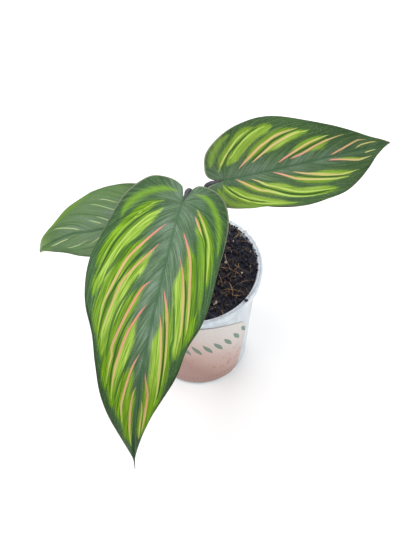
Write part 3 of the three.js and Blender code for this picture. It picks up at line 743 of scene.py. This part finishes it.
RIGHT_MARKS = {
    "moss": (
        ((0.6, 5.5, 1.1, 7.4, 2.2, 10.1, 4.4, 13.1, 6.8, 15.5, 10.3, 17.4), (1.6, 2, 1.3)),
        ((2.9, -4.3, 5.5, -10.1, 7.8, -13.4, 10.9, -15.6, 14.7, -17.3, 19, -18.5), (1.1, 2, 1.9)),
    ),
    "vein": (
        ((4.5, 3.4, 7.9, 8.6, 10.5, 11, 17.2, 16.2, 22.6, 18.2), (0.47, 0.61, 0.44)),
        ((16.6, 5, 26.2, 10.7, 30.2, 12, 34.2, 13, 42.3, 14), (0.47, 0.59, 0.42)),
        ((31.2, 3, 33.4, 3.8, 46.2, 6.8, 53.1, 8.1), (0.37, 0.54, 0.4)),
        ((6.7, -5, 10.8, -10.9, 13.2, -13.1, 15.9, -14.9, 19.7, -16.8), (0.3, 0.43, 0.36)),
        ((16.7, -5.7, 24.3, -12.7, 25.9, -14, 27.7, -14.9, 31.6, -16.1, 40.1, -16.2),
         (0.41, 0.76, 0.52)),
        ((31.5, -5, 33.1, -6.4, 36, -7.8, 42.2, -9.8, 48.7, -10.7, 51, -10.6), (0.54, 0.76, 0.43)),
    ),
    "line": (
        ((3.6, 3.4, 7, 8.8, 14, 15.6, 17.4, 17.7, 19.8, 18.4), (0.47, 0.84, 0.63), (0.35, 0.2, 0.1),
         (1.7, 0.34), (0.1, 1.1)),
        ((7.5, 6.2, 13.5, 12.2, 16.9, 14.8, 20.9, 16.8, 24.6, 17.6, 28.8, 17.9), (0.56, 0.85, 0.68),
         (0.1, 0.1, 0), (0.34, 2.8), (0, 1.1)),
        ((11.2, 2.8, 20.2, 9.2, 24.2, 11.1, 28.4, 12.7, 32.4, 13.6, 40.3, 14.5), (0.69, 1.2, 0.66),
         (0.7, 0.5, 0.25), (1.6, 0.41), (0.2, 1)),
        ((16.3, 4, 21.1, 6.7, 27.9, 9.8, 35.9, 12.1, 39.6, 12.7, 41.9, 12.3, 45.5, 12.8),
         (0.62, 1.2, 0.66), (0.5, 0.4, 0.05), (0.39, 1.8), (0.3, 1)),
        ((26.6, 2.2, 30.9, 3.8, 40.6, 6.9, 49.9, 8.5, 53.1, 8.4), (0.75, 0.93, 0.58),
         (0.95, 0.5, 0.1), (1.3, 0.31), (0.3, 0.95)),
        ((31.2, 2.5, 38.7, 4, 45.8, 6.1, 55.2, 7.4, 59.6, 7.6), (0.67, 0.96, 0.49), (0.8, 0.6, 0.3),
         (0.31, 0.77), (0.4, 0.75)),
        ((49, 0.52, 62.3, 3.7, 65.5, 3.9, 68.3, 3.5), (0.61, 0.78, 0.51), (0.75, 0.55, 0.35)),
        ((61.2, 0.85, 63.7, 1.6, 66.2, 1.9, 70.6, 1.9, 72.8, 1.6), (0.39, 0.57, 0.42),
         (0.3, 0.3, 0.25)),
        ((63.8, -2.1, 70, -1.6), (0.43, 0.61, 0.44), (0.25, 0.25, 0.15)),
        ((5.1, -3.3, 6.5, -5.9, 12.2, -13.1, 15, -15.1, 17.5, -16.5, 22.7, -18.3, 25.9, -19.1, 28.7,
         -19.3), (0.45, 0.78, 0.57), (0.1, 0.1, 0.05), (0.87, 0.26), (0, 1)),
        ((7.1, -4.5, 11.2, -9.8, 13.3, -12, 20.6, -16.8, 23.1, -18), (0.46, 0.78, 0.53),
         (0.1, 0.1, 0.05), (0.26, 1.7), (0.05, 1.2)),
        ((9.5, -0.58, 17.1, -8.6, 18.7, -10, 20.7, -11, 25.7, -15.1, 27.4, -16, 31.3, -16.9, 38.9,
         -17.2), (0.84, 1.1, 0.53), (0.85, 0.2, 0.05), (1.1, 0.41), (0.15, 0.7)),
        ((15.3, -2.1, 18.7, -5.1, 20.5, -7.4, 23.6, -9.7, 26.9, -12.8, 28.7, -14, 30.6, -14.6, 32.8,
         -15, 42.3, -15.8), (0.7, 1.2, 0.73), (0.35, 0.15, 0.05), (0.46, 1.9), (0.25, 1.1)),
        ((23.8, -1.1, 26.1, -2.8, 29.7, -6.5, 31, -7.5, 33.1, -8.4, 35.3, -9.2, 43.8, -11.4, 50.6,
         -11.7), (1.1, 1.4, 0.52), (0.95, 0.35, 0.2), (1.3, 0.53), (0.3, 0.85)),
        ((30.5, -3.1, 34.5, -5.4, 36.7, -6.3, 42, -8.4, 45, -9.3, 47, -9.8, 49.2, -9.8, 56.5, -9.3),
         (0.8, 1.2, 0.5), (0.5, 0.35, 0.1), (0.54, 1.8), (0.35, 0.9)),
        ((46.6, -1.6, 49.7, -2, 57.9, -4.4, 60.2, -4.7, 66.6, -4.2), (0.76, 1.1, 0.42),
         (0.95, 0.45, 0.25), (0, 0.2), (0.3, 0.8)),
    ),
}
LEFT_MARKS = {
    "line": (
        ((26.6, -12.2, 23.1, -11.4, 17.9, -8.8), (0.25, 0.41, 0.25), (0.2, 0.2, 0.2)),
        ((18.5, -5.5, 24.4, -8.7, 28.2, -10.3, 31, -10.8), (0.41, 0.41, 0.33), (0.08, 0.02, 0)),
        ((21, -1.3, 25.6, -4.2, 29, -5.8), (0.39, 0.48, 0.28), (0.25, 0.1, 0)),
        ((26.6, -2.2, 30.1, -3.8, 32, -4.4), (0.39, 0.47, 0.28), (0.25, 0.1, 0)),
        ((35.5, -1, 45, -4.4, 47.3, -4.4), (0.46, 0.5, 0.34), (0.4, 0.1, 0)),
        ((40.1, 1.8, 46, 2.1, 48.8, 2), (0.38, 0.57, 0.36), (0.3, 0.3, 0.15)),
        ((32, 3.7, 35.4, 5.3, 39.6, 5.8, 41.3, 5.4), (0.22, 0.41, 0.33), (0.15, 0.15, 0.15)),
        ((27.4, 3.4, 30.2, 4.7, 33.1, 6.6), (0.43, 0.42, 0.2), (0.3, 0.2, 0.1)),
    ),
}


def with_ends(points):
    """The points with one more at either end, in line with the last two."""
    p = np.array(points, dtype=float)
    return np.vstack([2 * p[0] - p[1], p, 2 * p[-1] - p[-2]])


def between(knots, f):
    """The place and the direction at a share f of the way from the second of four knots to
    the third."""
    a, b, c, d = knots
    bend, twist = 2 * a - 5 * b + 4 * c - d, 3 * b - a - 3 * c + d
    place = 0.5 * (2 * b + (c - a) * f + bend * f**2 + twist * f**3)
    return place, 0.5 * ((c - a) + 2 * bend * f + 3 * twist * f**2)


def smooth_path(points):
    """A smooth curve through points: distances along it and places on it."""
    knots = with_ends(points)
    f = np.linspace(0, 1, 80, endpoint=False)[:, None]
    parts = [between(knots[k : k + 4], f)[0] for k in range(len(knots) - 3)]
    path = np.vstack(parts + [knots[-2:-1]])
    step = np.linalg.norm(np.diff(path, axis=0), axis=1)
    return np.concatenate([[0], np.cumsum(step)]), path


def along_path(path, s):
    """Places on a path at distances along it."""
    lengths, places = path
    return np.stack([np.interp(s, lengths, places[:, k]) for k in range(places.shape[1])], -1)


def smooth_step(low, high, x):
    """Rises smoothly from 0 at low to 1 at high."""
    f = np.clip((x - low) / (high - low), 0, 1)
    return f * f * (3 - 2 * f)


def leaf_axes(leaf, s):
    """Centre, direction, width direction and up at distances along the midrib."""
    path = leaf.setdefault("path", smooth_path(leaf["midrib"]))
    length = path[0][-1]
    on = np.clip(s, 0, length)
    centre = along_path(path, on)
    ahead, behind = (along_path(path, np.clip(on + step, 0, length)) for step in (0.4, -0.4))
    direction = ahead - behind
    direction /= np.linalg.norm(direction, axis=-1, keepdims=True)
    centre = centre + (s - on)[..., None] * direction
    f = (on / length)[..., None]
    width = np.array(leaf["across"][0]) * (1 - f) + np.array(leaf["across"][1]) * f
    width = width - direction * (width * direction).sum(-1, keepdims=True)
    width /= np.linalg.norm(width, axis=-1, keepdims=True)
    return f[..., 0], centre, direction, width, np.cross(direction, width)


def leaf_point(leaf, s, v, lift):
    """The upper face of a leaf from its flat pattern, raised by lift."""
    f, centre, _, width, up = leaf_axes(leaf, s)
    x = np.abs(v) / leaf["half_width"]
    rise = leaf["rise"][0] * (1 - f) + leaf["rise"][1] * f
    fall = np.where(v > 0, *leaf["fall"])
    tall, waves, *starts = leaf["wave"]
    length = leaf["path"][0][-1]
    wave = np.sin(2 * math.pi * waves * s / length + np.where(v > 0, *starts))
    h = leaf["half_width"] * (rise * x - fall * x * x) + tall * x * x * wave + lift
    return centre + v[..., None] * width + h[..., None] * up


def vein_rows(leaf, side, rows, columns):
    """The flat pattern of one half as rows that follow the side veins."""
    margin = smooth_path(np.reshape(leaf[side], (-1, 2)))
    notch, end = leaf[side][0], leaf[side][-2]

    def leaves_at(u):
        """Where on the midrib the vein starts that ends a share u round the margin. Over the
        first half of the margin they start close together, as the real ones fan out."""
        return 0.035 * u + 0.965 * np.maximum((u - 0.55) / 0.45, 0) ** 2.3

    u = np.linspace(0, 1, 4001)
    u = np.interp(np.linspace(0, 1, rows + 1), (u + leaves_at(u)) / 2, u)
    root = notch + (end - notch) * leaves_at(u)
    to = along_path(margin, u * margin[0][-1])
    k = smooth_step(0.15, 0.6, u)
    bend_s = root + (0.46 - 0.1 * k) * (to[:, 0] - root)
    bend_v = (0.6 + 0.55 * k) * to[:, 1]
    b = (np.linspace(0, 1, columns + 1) ** 1.12)[None, :]
    c = 1 - b
    s = c * c * root[:, None] + 2 * b * c * bend_s[:, None] + b * b * to[:, :1]
    v = 2 * b * c * bend_v[:, None] + b * b * to[:, 1:]
    return s, v


def three_way(share, values):
    """A value that is given at the start, middle and end of a stroke."""
    a, b, c = values
    left = 1 - share
    return left * (1 - 2 * share) * a + 4 * share * left * b + share * (2 * share - 1) * c


def brush(marks, s, v, lime_share):
    """Reads the marks at flat points. The edge of a line, vein or patch of lime is where its
    value is a half, and the value falls by a half over one millimetre (lime: over two)."""
    names = ("line", "blush", "lime", "light", "vein", "seam", "moss")
    fields = {name: np.zeros(s.shape) for name in names}
    strokes = [(kind, *stroke) for kind in marks for stroke in marks[kind]]
    for kind, points, widths, *more in strokes:
        path = smooth_path(np.reshape(points, (-1, 2)))
        places = along_path(path, np.linspace(0, path[0][-1], STROKE_STEPS + 1))
        best, share, side = np.full(s.shape, 1e9), np.zeros(s.shape), np.zeros(s.shape)
        for k in range(STROKE_STEPS):
            a, (ds, dv) = places[k], places[k + 1] - places[k]
            f = np.clip(((s - a[0]) * ds + (v - a[1]) * dv) / (ds * ds + dv * dv), 0, 1)
            ps, pv = s - a[0] - f * ds, v - a[1] - f * dv
            d = np.hypot(ps, pv)
            nearer = d < best
            best = np.where(nearer, d, best)
            share = np.where(nearer, (k + f) / STROKE_STEPS, share)
            side = np.where(nearer, (ds * pv - dv * ps) * np.sign(points[-1]), side)
        # A stroke comes to a point at both ends, sooner at its start than at its end.
        point = np.clip(share / 0.12, 0, 1) ** 0.6 * np.clip((1 - share) / 0.3, 0, 1) ** 0.6
        half = np.maximum(three_way(share, widths), 0.1) / 2 * point
        if kind == "moss":
            edge = 0.5 * np.clip(1 - best / (2.2 * half + 0.01), 0, 1)
        else:
            half *= 0.8 if kind == "line" else 1
            edge = np.clip(0.5 + (half - best) / 2, 0, 1)
        if kind == "line":
            tints, (to_base, to_tip), (first, last) = more if more[1:] else (*more, (0, 0), (0, 1))
            tint = np.clip(three_way(share, tints), 0, 1)
            fields["blush"] = np.where(edge > fields["line"], tint, fields["blush"])
            window = smooth_step(first - 0.12, first + 0.14, share)
            window = window * (1 - smooth_step(last - 0.25, last, share))
            toward_tip = side < 0
            reach = np.where(toward_tip, to_tip, to_base)
            narrow, wide = (reach > 0.1) * 0.6 + reach * 2.0, reach * lime_share
            reach = np.where(reach < 0.8, narrow, wide) * window
            patch = np.clip(0.5 + (half + reach - best) / 4, 0, 1) * (reach > 0.02)
            light = np.where(toward_tip, min(to_tip / 1.8, 1), 0.0)
            fields["light"] = np.where(patch > fields["lime"], light, fields["light"])
            fields["lime"] = np.maximum(fields["lime"], patch)
        fields[kind] = np.maximum(fields[kind], edge)
    return fields


# Upper face of the blade: living leaf tissue with a waxy, satin cuticle. Deep green with a
# painted grey sheen near the midrib, lime feathered along the veins, and pink to cream lines.
leaf_face, t, place = new_material("satin_leaf_cuticle")
mark = {
    name: add(t, "Attribute", attribute_name=name).outputs["Fac"]
    for name in (
        "line", "blush", "lime", "light", "vein", "seam", "moss", "age", "pale", "satin", "far",
        "out_cm", "margin_cm", "tip",
    )
}
veins = add(t, "UVMap", uv_map="veins")
# Along the side veins: ragged barbs, fine streaks and broad pleats.
barbs, streaks, pleats = (
    add(
        t, "TexNoise", add(t, "Mapping", veins, Scale=sizes),
        Scale=1, Detail=detail, Roughness=rough,
    )
    for sizes, detail, rough in (
        ((1000, 2400, 1), 3, 0.65), ((1500, 90, 1), 4, 0.5), ((240, 60, 1), 3, 0.6)
    )
)
cells = add(t, "TexNoise", place, Scale=1500, Detail=3)
patches = add(t, "TexNoise", place, Scale=95, Detail=2)

# Tissue: finely streaked, deeper towards the tip, with a painted grey sheen along the midrib
# and over its folds, painted pale glints of cells, and a faint green glow where lime has
# spread thinly.
young = add(t, "ValToRGB", streaks, ramp=((0.3, "#203c1b"), (0.5, "#31512b"), (0.72, "#476a40")))
old = add(t, "ValToRGB", streaks, ramp=((0.3, "#1e330d"), (0.5, "#2a4319"), (0.72, "#3a5628")))
tissue = add(t, "Mix", Factor=mark["age"], A=young, B=old, data_type="RGBA")
# Painted sheen: a grey-green that stands in for the reflection of the bright room near the midrib,
# weaker on older leaves.
sheen_tone = add(t, "ValToRGB", streaks, ramp=((0.3, "#566c59"), (0.5, "#687d6a"), (0.72, "#7e9182")))
sheen_tone = add(t, "Mix", Factor=mark["age"], A=sheen_tone, B="#304731", data_type="RGBA")
margin_dark = add(t, "ValToRGB", mark["margin_cm"], ramp=((0.04, 0.5), (0.4, 0.0)))
deeper = add(t, "Math", mark["far"], 0.5, operation="MULTIPLY")
# The painted sheen is strongest on the crests of the folds, close to the midrib and in cloudy
# patches.
sheen_on_folds = add(t, "ValToRGB", pleats, ramp=((0.38, 0.35), (0.62, 1.0)))
sheen_near_rib = add(t, "ValToRGB", mark["satin"], ramp=((0.0, 0.0), (0.75, 0.95)))
shine = add(t, "Math", sheen_on_folds, sheen_near_rib, operation="MULTIPLY")
cloudy = add(t, "ValToRGB", patches, ramp=((0.4, 0.6), (0.58, 1.0)))
shine = add(t, "Math", shine, cloudy, operation="MULTIPLY")
glow = add(t, "Math", streaks, 0.35, mark["moss"], operation="MULTIPLY_ADD")
glow = add(t, "ValToRGB", glow, ramp=((0.17, 0.0), (0.41, 0.38), (0.65, 0.72)))
moss_tone = add(t, "Mix", Factor=mark["age"], A="#6f9a10", B="#6d8826", data_type="RGBA")
glints = add(t, "ValToRGB", cells, ramp=((0.56, 0.0), (0.72, 0.14)))

# Lime: deep on the side of a line that faces the base, light on the other, and ragged
# where it fades out across the fine veins.
deep = add(t, "ValToRGB", streaks, ramp=((0.36, "#3a5c00"), (0.5, "#5a8200"), (0.64, "#7ba212")))
pale = add(t, "ValToRGB", streaks, ramp=((0.36, "#5b8016"), (0.5, "#82a531"), (0.64, "#a9c25c")))
lime = add(t, "Mix", Factor=mark["light"], A=deep, B=pale, data_type="RGBA")
lime = add(t, "Mix", Factor=mark["age"], A=lime, B="#66801f", data_type="RGBA")
ragged = add(t, "Math", barbs, 0.6, mark["lime"], operation="MULTIPLY_ADD")
limed = add(t, "ValToRGB", ragged, ramp=((0.68, 0.0), (0.86, 0.62), (0.98, 0.97)))
seams = add(t, "ValToRGB", mark["seam"], ramp=((0.3, 0.0), (0.5, 0.85)))

# Lines: pink next to the midrib, then tan, then lime cream towards the margin.
dappled = add(t, "Math", cells, 0.24, mark["blush"], operation="MULTIPLY_ADD")
line_tone = add(
    t, "ValToRGB", dappled,
    ramp=(
        (0.1, "#8cb03a"), (0.28, "#a3b85a"), (0.45, "#b9ac6c"), (0.72, "#c49a72"),
        (0.94, "#cd8575"), (1.0, "#d27c72"),
    ),
)
line_tone = add(t, "Mix", Factor=mark["pale"], A=line_tone, B="#a9ba90", data_type="RGBA")
lined = add(t, "Math", barbs, 0.14, mark["line"], operation="MULTIPLY_ADD")
lined = add(t, "ValToRGB", lined, ramp=((0.51, 0.0), (0.63, 0.86)))
furrow = add(t, "ValToRGB", mark["vein"], ramp=((0.4, 0.0), (0.5, 0.9)))

# Midrib, margin and dry tip.
rib = add(t, "ValToRGB", mark["out_cm"], ramp=((0.03, 0.7), (0.07, 0.0)))
rib_tone = add(t, "Mix", Factor=mark["age"], A="#35583a", B="#22401e", data_type="RGBA")
rim = add(t, "ValToRGB", mark["margin_cm"], ramp=((0.0, 0.8), (0.026, 0.6), (0.045, 0.0)))
dry = add(t, "ValToRGB", mark["tip"], ramp=((0.7, 1.0), (1.0, 0.0)))

# The colours in the order in which they lie over each other.
for cover, tone in (
    (mark["pale"], "#587544"), (margin_dark, "#203a1d"), (deeper, "#1c3413"), (shine, sheen_tone),
    (glow, moss_tone), (glints, "#9fb0a0"), (limed, lime), (seams, "#2c5618"),
    (lined, line_tone), (furrow, "#21450a"), (rib, rib_tone), (rim, "#8f9476"), (dry, "#4b3138"),
):
    tissue = add(t, "Mix", Factor=cover, A=tissue, B=tone, data_type="RGBA")
vein_bump = add(t, "Bump", Height=streaks, Strength=0.25, Distance=0.00025)
cell_bump = add(t, "Bump", Height=cells, Strength=0.12, Distance=0.0001, Normal=vein_bump)
satin = add(t, "MapRange", cells, From_Min=0.3, From_Max=0.7, To_Min=0.42, To_Max=0.52)
skin = add(
    t, "BsdfPrincipled", Base_Color=tissue, Roughness=satin, IOR=1.45, Specular_IOR_Level=0.22,
    Normal=cell_bump,
)
add(t, "OutputMaterial", skin)

# Underside: wine purple, duller, with the veins standing out a little paler.
leaf_back, t, place = new_material("wine_purple_leaf_underside")
out = add(t, "Attribute", attribute_name="out_cm").outputs["Fac"]
veins = add(t, "UVMap", uv_map="veins")
streak_map = add(t, "Mapping", veins, Scale=(1500, 90, 1))
streaks = add(t, "TexNoise", streak_map, Scale=1, Detail=4)
cloud = add(t, "TexNoise", place, Scale=90, Detail=3)
wine = add(t, "ValToRGB", streaks, ramp=((0.3, "#4a1f35"), (0.5, "#5f2b45"), (0.72, "#7b4560")))
greener = add(t, "ValToRGB", cloud, ramp=((0.4, 0.0), (0.65, 0.35)))
wine = add(t, "Mix", Factor=greener, A=wine, B="#5d4a4c", data_type="RGBA")
rib = add(t, "ValToRGB", out, ramp=((0.04, 0.8), (0.11, 0.0)))
wine = add(t, "Mix", Factor=rib, A=wine, B="#8b5f6c", data_type="RGBA")
bump = add(t, "Bump", Height=streaks, Strength=0.3, Distance=0.0003)
skin = add(t, "BsdfPrincipled", Base_Color=wine, Roughness=0.55, Normal=bump)
add(t, "OutputMaterial", skin)


def paint(mesh, name, values):
    """Gives a mesh one number at each of its points, for its material to read."""
    field = mesh.attributes.new(name, "FLOAT", "POINT")
    field.data.foreach_set("value", np.array(values, dtype=np.float32))


def make_blade(name, leaf, marks):
    """Builds a blade: two faces on one grid of vein rows, joined along the margin."""
    rows, columns = BLADE_ROWS, BLADE_COLUMNS
    length = smooth_path(leaf["midrib"])[0][-1]
    minus, plus = (vein_rows(leaf, side, rows, columns) for side in ("minus", "plus"))
    # One row across the whole leaf runs from the minus margin over the midrib to the plus.
    s = np.hstack([minus[0][:, ::-1], plus[0][:, 1:]])
    v = np.hstack([minus[1][:, ::-1], plus[1][:, 1:]])
    count = 2 * columns + 1
    b = np.abs(np.linspace(-1, 1, count))[None, :]
    steps = np.hypot(np.diff(s, axis=1), np.diff(v, axis=1))
    reach = np.hstack([np.zeros((rows + 1, 1)), np.cumsum(steps, axis=1)])
    reach -= reach[:, columns : columns + 1]
    index = np.arange(rows + 1)[:, None] / rows
    cross = index * length
    # Ribs and folds run along the veins, at spacings that wander, and die out at the ends.
    # The midrib lies in a narrow channel.
    calm = smooth_step(0.02, 0.1, index) * (1 - smooth_step(0.9, 0.99, index))
    wander = 2 * math.pi * (cross + 1.1 * np.sin(0.23 * cross + 1) + 0.5 * np.sin(0.61 * cross))
    ribs = RIB_HEIGHT * np.sin(wander / RIB_SPACING)
    ribs = ribs + FOLD_HEIGHT * np.sin(wander / FOLD_SPACING + 1)
    lift = ribs * calm * np.sin(math.pi * np.clip(b * 1.02, 0, 1)) ** 0.7
    lift = lift - CHANNEL_DEPTH * np.exp(-((v / CHANNEL_HALF) ** 2))
    top = leaf_point(leaf, s, v, lift)
    edge = np.clip((1 - b) / 0.1, 0, 1) ** 0.5
    keel = (0.75 * (1 - s / length) + 0.15) * np.exp(-((v / 0.9) ** 2))
    deep = BLADE_THICK * edge + np.clip(keel, 0, 1) + 0.001
    back = top - leaf_axes(leaf, s)[4] * deep[..., None]

    fields = brush(marks, s, v, leaf["lime_share"])
    margin = np.abs(np.where(v > 0, reach[:, -1:], reach[:, :1])) - np.abs(reach)
    fields["light"] *= smooth_step(7, 19, margin)
    far = smooth_step(0.45, 0.78, s / length)
    out = np.abs(v)
    age, pale = leaf["age"], leaf["pale"]
    older = 1.6 * age * (1 - age) * np.clip(1 - s / 30, 0, 1) * np.clip(out / 12 - 0.2, 0, 1)
    # satin: how much painted sheen lies on the leaf. It is strongest at the midrib and fades out to
    # the sides and towards the tip.
    fields.update(
        out_cm=out / 10, margin_cm=0.062 * margin, tip=(length - s) / leaf["dry_tip"],
        age=age + older, satin=np.clip(1 - out / leaf["sheen_reach_mm"], 0, 1) * (1 - 0.7 * far),
        pale=np.full(s.shape, pale), far=far * (1 - pale),
    )
    # The faded leaf turns yellower along its far margin and at the tip.
    yellow = np.clip(1.1 - margin / 5, 0, 1) * smooth_step(0.3, 0.7, s / length) * (v < 0)
    yellow = np.maximum(yellow, smooth_step(0.74, 1.0, s / length))
    fields["moss"] = np.maximum(fields["moss"], 0.5 * pale * yellow)
    # The two faces share their margin, and each ends in one point at the notch and the tip.
    grid = np.arange(2 * s.size).reshape(2, rows + 1, count)
    grid[1][:, [0, -1]] = grid[0][:, [0, -1]]
    grid[:, 0], grid[:, -1] = grid[0, 0, 0], grid[0, -1, 0]
    used, grid = np.unique(grid, return_inverse=True)
    grid = grid.reshape(2, rows + 1, count)
    points = np.concatenate([top.reshape(-1, 3), back.reshape(-1, 3)])[used]
    faces, kinds = [], []
    for face in (0, 1):
        for a, c in zip(grid[face], grid[face, 1:]):
            for j in range(count - 1):
                corners = (a[j], c[j], c[j + 1], a[j + 1])[:: -1 if face else 1]
                corners = list(dict.fromkeys(int(k) for k in corners))
                if len(corners) > 2:
                    faces.append(corners)
                    kinds.append(face)
    blade = make_piece(name, points, faces, [leaf_face, leaf_back])
    mesh = blade.data
    mesh.polygons.foreach_set("material_index", kinds)
    for key, values in fields.items():
        paint(mesh, key, np.tile(values.ravel(), 2)[used])
    uv = np.stack([np.broadcast_to(cross, s.shape), reach], -1).reshape(-1, 2) * MM
    lay_map(mesh, "veins", np.tile(uv, (2, 1))[used])
    return blade


for name, leaf, marks in (
    ("front", FRONT_LEAF, FRONT_MARKS), ("right", RIGHT_LEAF, RIGHT_MARKS),
    ("left", LEFT_LEAF, LEFT_MARKS),
):
    blade = make_blade("blade_" + name + "_sheet", leaf, marks)
    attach(blade, "root")
    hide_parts("blade_" + name)


# ---------------------------------------------------------------------------------------
# Stalks. One stands under each blade: a sheathed foot in the peat, a thin round stalk, and
# a swollen dark joint that bends over and runs out in the notch of the blade.
STALK_SIDES = 20
STALK_STEPS = 90

# Stalk skin: smooth, waxy, green with a purple flush that deepens at the foot and joint.
stalk_skin, t, place = new_material("waxy_stalk_skin")
long_map = add(t, "Mapping", place, Scale=(1400, 1400, 80))
grain = add(t, "TexNoise", long_map, Scale=1, Detail=3)
flush = add(t, "Attribute", attribute_name="flush").outputs["Fac"]
flush = add(t, "Math", grain, 0.4, flush, operation="MULTIPLY_ADD")
tone = add(
    t, "ValToRGB", flush,
    ramp=((0.25, "#6d7a4a"), (0.55, "#6a4f4e"), (0.8, "#443b48"), (1.0, "#34313c")),
)
bump = add(t, "Bump", Height=grain, Strength=0.25, Distance=0.0002)
skin = add(t, "BsdfPrincipled", Base_Color=tone, Roughness=0.42, Normal=bump)
add(t, "OutputMaterial", skin)

for name, leaf, foot, lean, swell, runs_to in (
    ("front", FRONT_LEAF, (-0.6, -2.6), (-0.6, 0.8), 1.4, 1.15),
    ("right", RIGHT_LEAF, (3.6, 1.8), (-0.5, 0.6), 1.35, 0.8),
    ("left", LEFT_LEAF, (-3.8, 2.4), (0.6, 0.6), 1.35, 0.8),
):
    _, centre, direction, _, up = (x[0] for x in leaf_axes(leaf, np.array([0.0])))
    notch = leaf["plus"][0] * runs_to

    def under(s, depth):
        """A place under the midrib, at a distance along it and a depth."""
        return centre + direction * s - up * depth

    neck = under(-2.6, 3.6)

    def rising(f):
        """A place on the way from the foot to the neck, which bows out a little."""
        sway = math.sin(math.pi * f)
        return (
            foot[0] + (neck[0] - foot[0]) * f + lean[0] * sway,
            foot[1] + (neck[1] - foot[1]) * f + lean[1] * sway,
            SOIL_TOP_Z + (neck[2] - SOIL_TOP_Z) * f,
        )

    path = [
        (foot[0], foot[1], SOIL_TOP_Z - 3), rising(0.06), rising(0.25), rising(0.5), rising(0.8),
        neck, under(-1.9, 1.7), under(0.1, 0.75), under(notch * 0.4, 0.35),
        under(notch * 0.72, 0.12), under(notch, 0.16),
    ]
    # At each of these places: the stalk's radius, and how purple it is.
    radii = [1.9, 1.8, 1.29, 1.15, 1.15, 1.35]
    radii += [swell, swell * 0.95, swell * 0.62, swell * 0.36, 0.14]
    blush = [1.0, 0.8, 0.35, 0.25, 0.4, 0.95, 1.0, 0.95, 0.85, 0.8, 0.7]
    knots = with_ends(path)
    points, faces, tint = [], [], []
    normal = np.array([1.0, 0, 0])
    for i in range(STALK_STEPS + 1):
        w = i / STALK_STEPS * (len(path) - 1)
        k = min(int(w), len(path) - 2)
        g = w - k
        at, along = between(knots[k : k + 4], g)
        along /= np.linalg.norm(along)
        normal = normal - along * (normal @ along)
        normal /= np.linalg.norm(normal)
        second = np.cross(along, normal)
        e = g * g * (3 - 2 * g)
        r = radii[k] * (1 - e) + radii[k + 1] * e
        for j in range(STALK_SIDES):
            angle = 2 * math.pi * j / STALK_SIDES
            # The sheath at the foot is open along one side, which shows as a groove.
            sheath = max(0.0, 1 - w / 2.2)
            groove = 1 - 0.22 * sheath * math.exp(-((angle - math.pi) / 0.35) ** 2)
            points.append(at + (normal * math.cos(angle) + second * math.sin(angle)) * r * groove)
            tint.append(blush[k] * (1 - e) + blush[k + 1] * e)
    first = len(points)
    points += [path[0], path[-1]]
    tint += [blush[0], blush[-1]]
    last = STALK_STEPS * STALK_SIDES
    for j in range(STALK_SIDES):
        n = (j + 1) % STALK_SIDES
        faces += [(first, n, j), (first + 1, last + j, last + n)]
        for i in range(STALK_STEPS):
            a, b = i * STALK_SIDES, (i + 1) * STALK_SIDES
            faces.append((a + j, a + n, b + n, b + j))
    stalk = make_piece("stalk_" + name + "_skin", points, faces, [stalk_skin])
    paint(stalk.data, "flush", tint)
    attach(stalk, "root")
    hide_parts("stalk_" + name)


# ---------------------------------------------------------------------------------------
# Floor and light: a plain pale floor under the cup and wide, soft studio lights.
floor_paint, t, _ = new_material("plain_matt_floor")
matt = add(t, "BsdfPrincipled", Base_Color="#f4f4f4", Roughness=0.9)
add(t, "OutputMaterial", matt)
ROOM_HALF = 3000
JUST_BELOW = -0.0001
corners = [(ROOM_HALF * x, ROOM_HALF * y, 0) for x, y in ((-1, -1), (1, -1), (1, 1), (-1, 1))]
floor = make_piece("floor", corners, [(0, 1, 2, 3)], [floor_paint], smooth=False)
floor.location.z = JUST_BELOW

world = bpy.data.worlds.new("soft_room")
world.use_nodes = True
world.node_tree.nodes.clear()
t = world.node_tree
room = add(t, "Background", Color="#ffffff", Strength=0.75)
add(t, "OutputWorld", room)
bpy.context.scene.world = world

for name, at, size, power in (
    ("key", (-0.6, -0.15, 1.45), 0.9, 13),
    ("fill", (0.8, -0.3, 1.1), 0.8, 5),
    ("back", (0.1, 0.9, 1.0), 0.8, 5),
):
    light = bpy.data.lights.new(name, "AREA")
    light.energy, light.size = power, size
    lamp = bpy.data.objects.new(name, light)
    lamp.location = at
    aim = Vector((0, 0, 0.09)) - Vector(at)
    lamp.rotation_euler = aim.to_track_quat("-Z", "Y").to_euler()
    bpy.context.collection.objects.link(lamp)
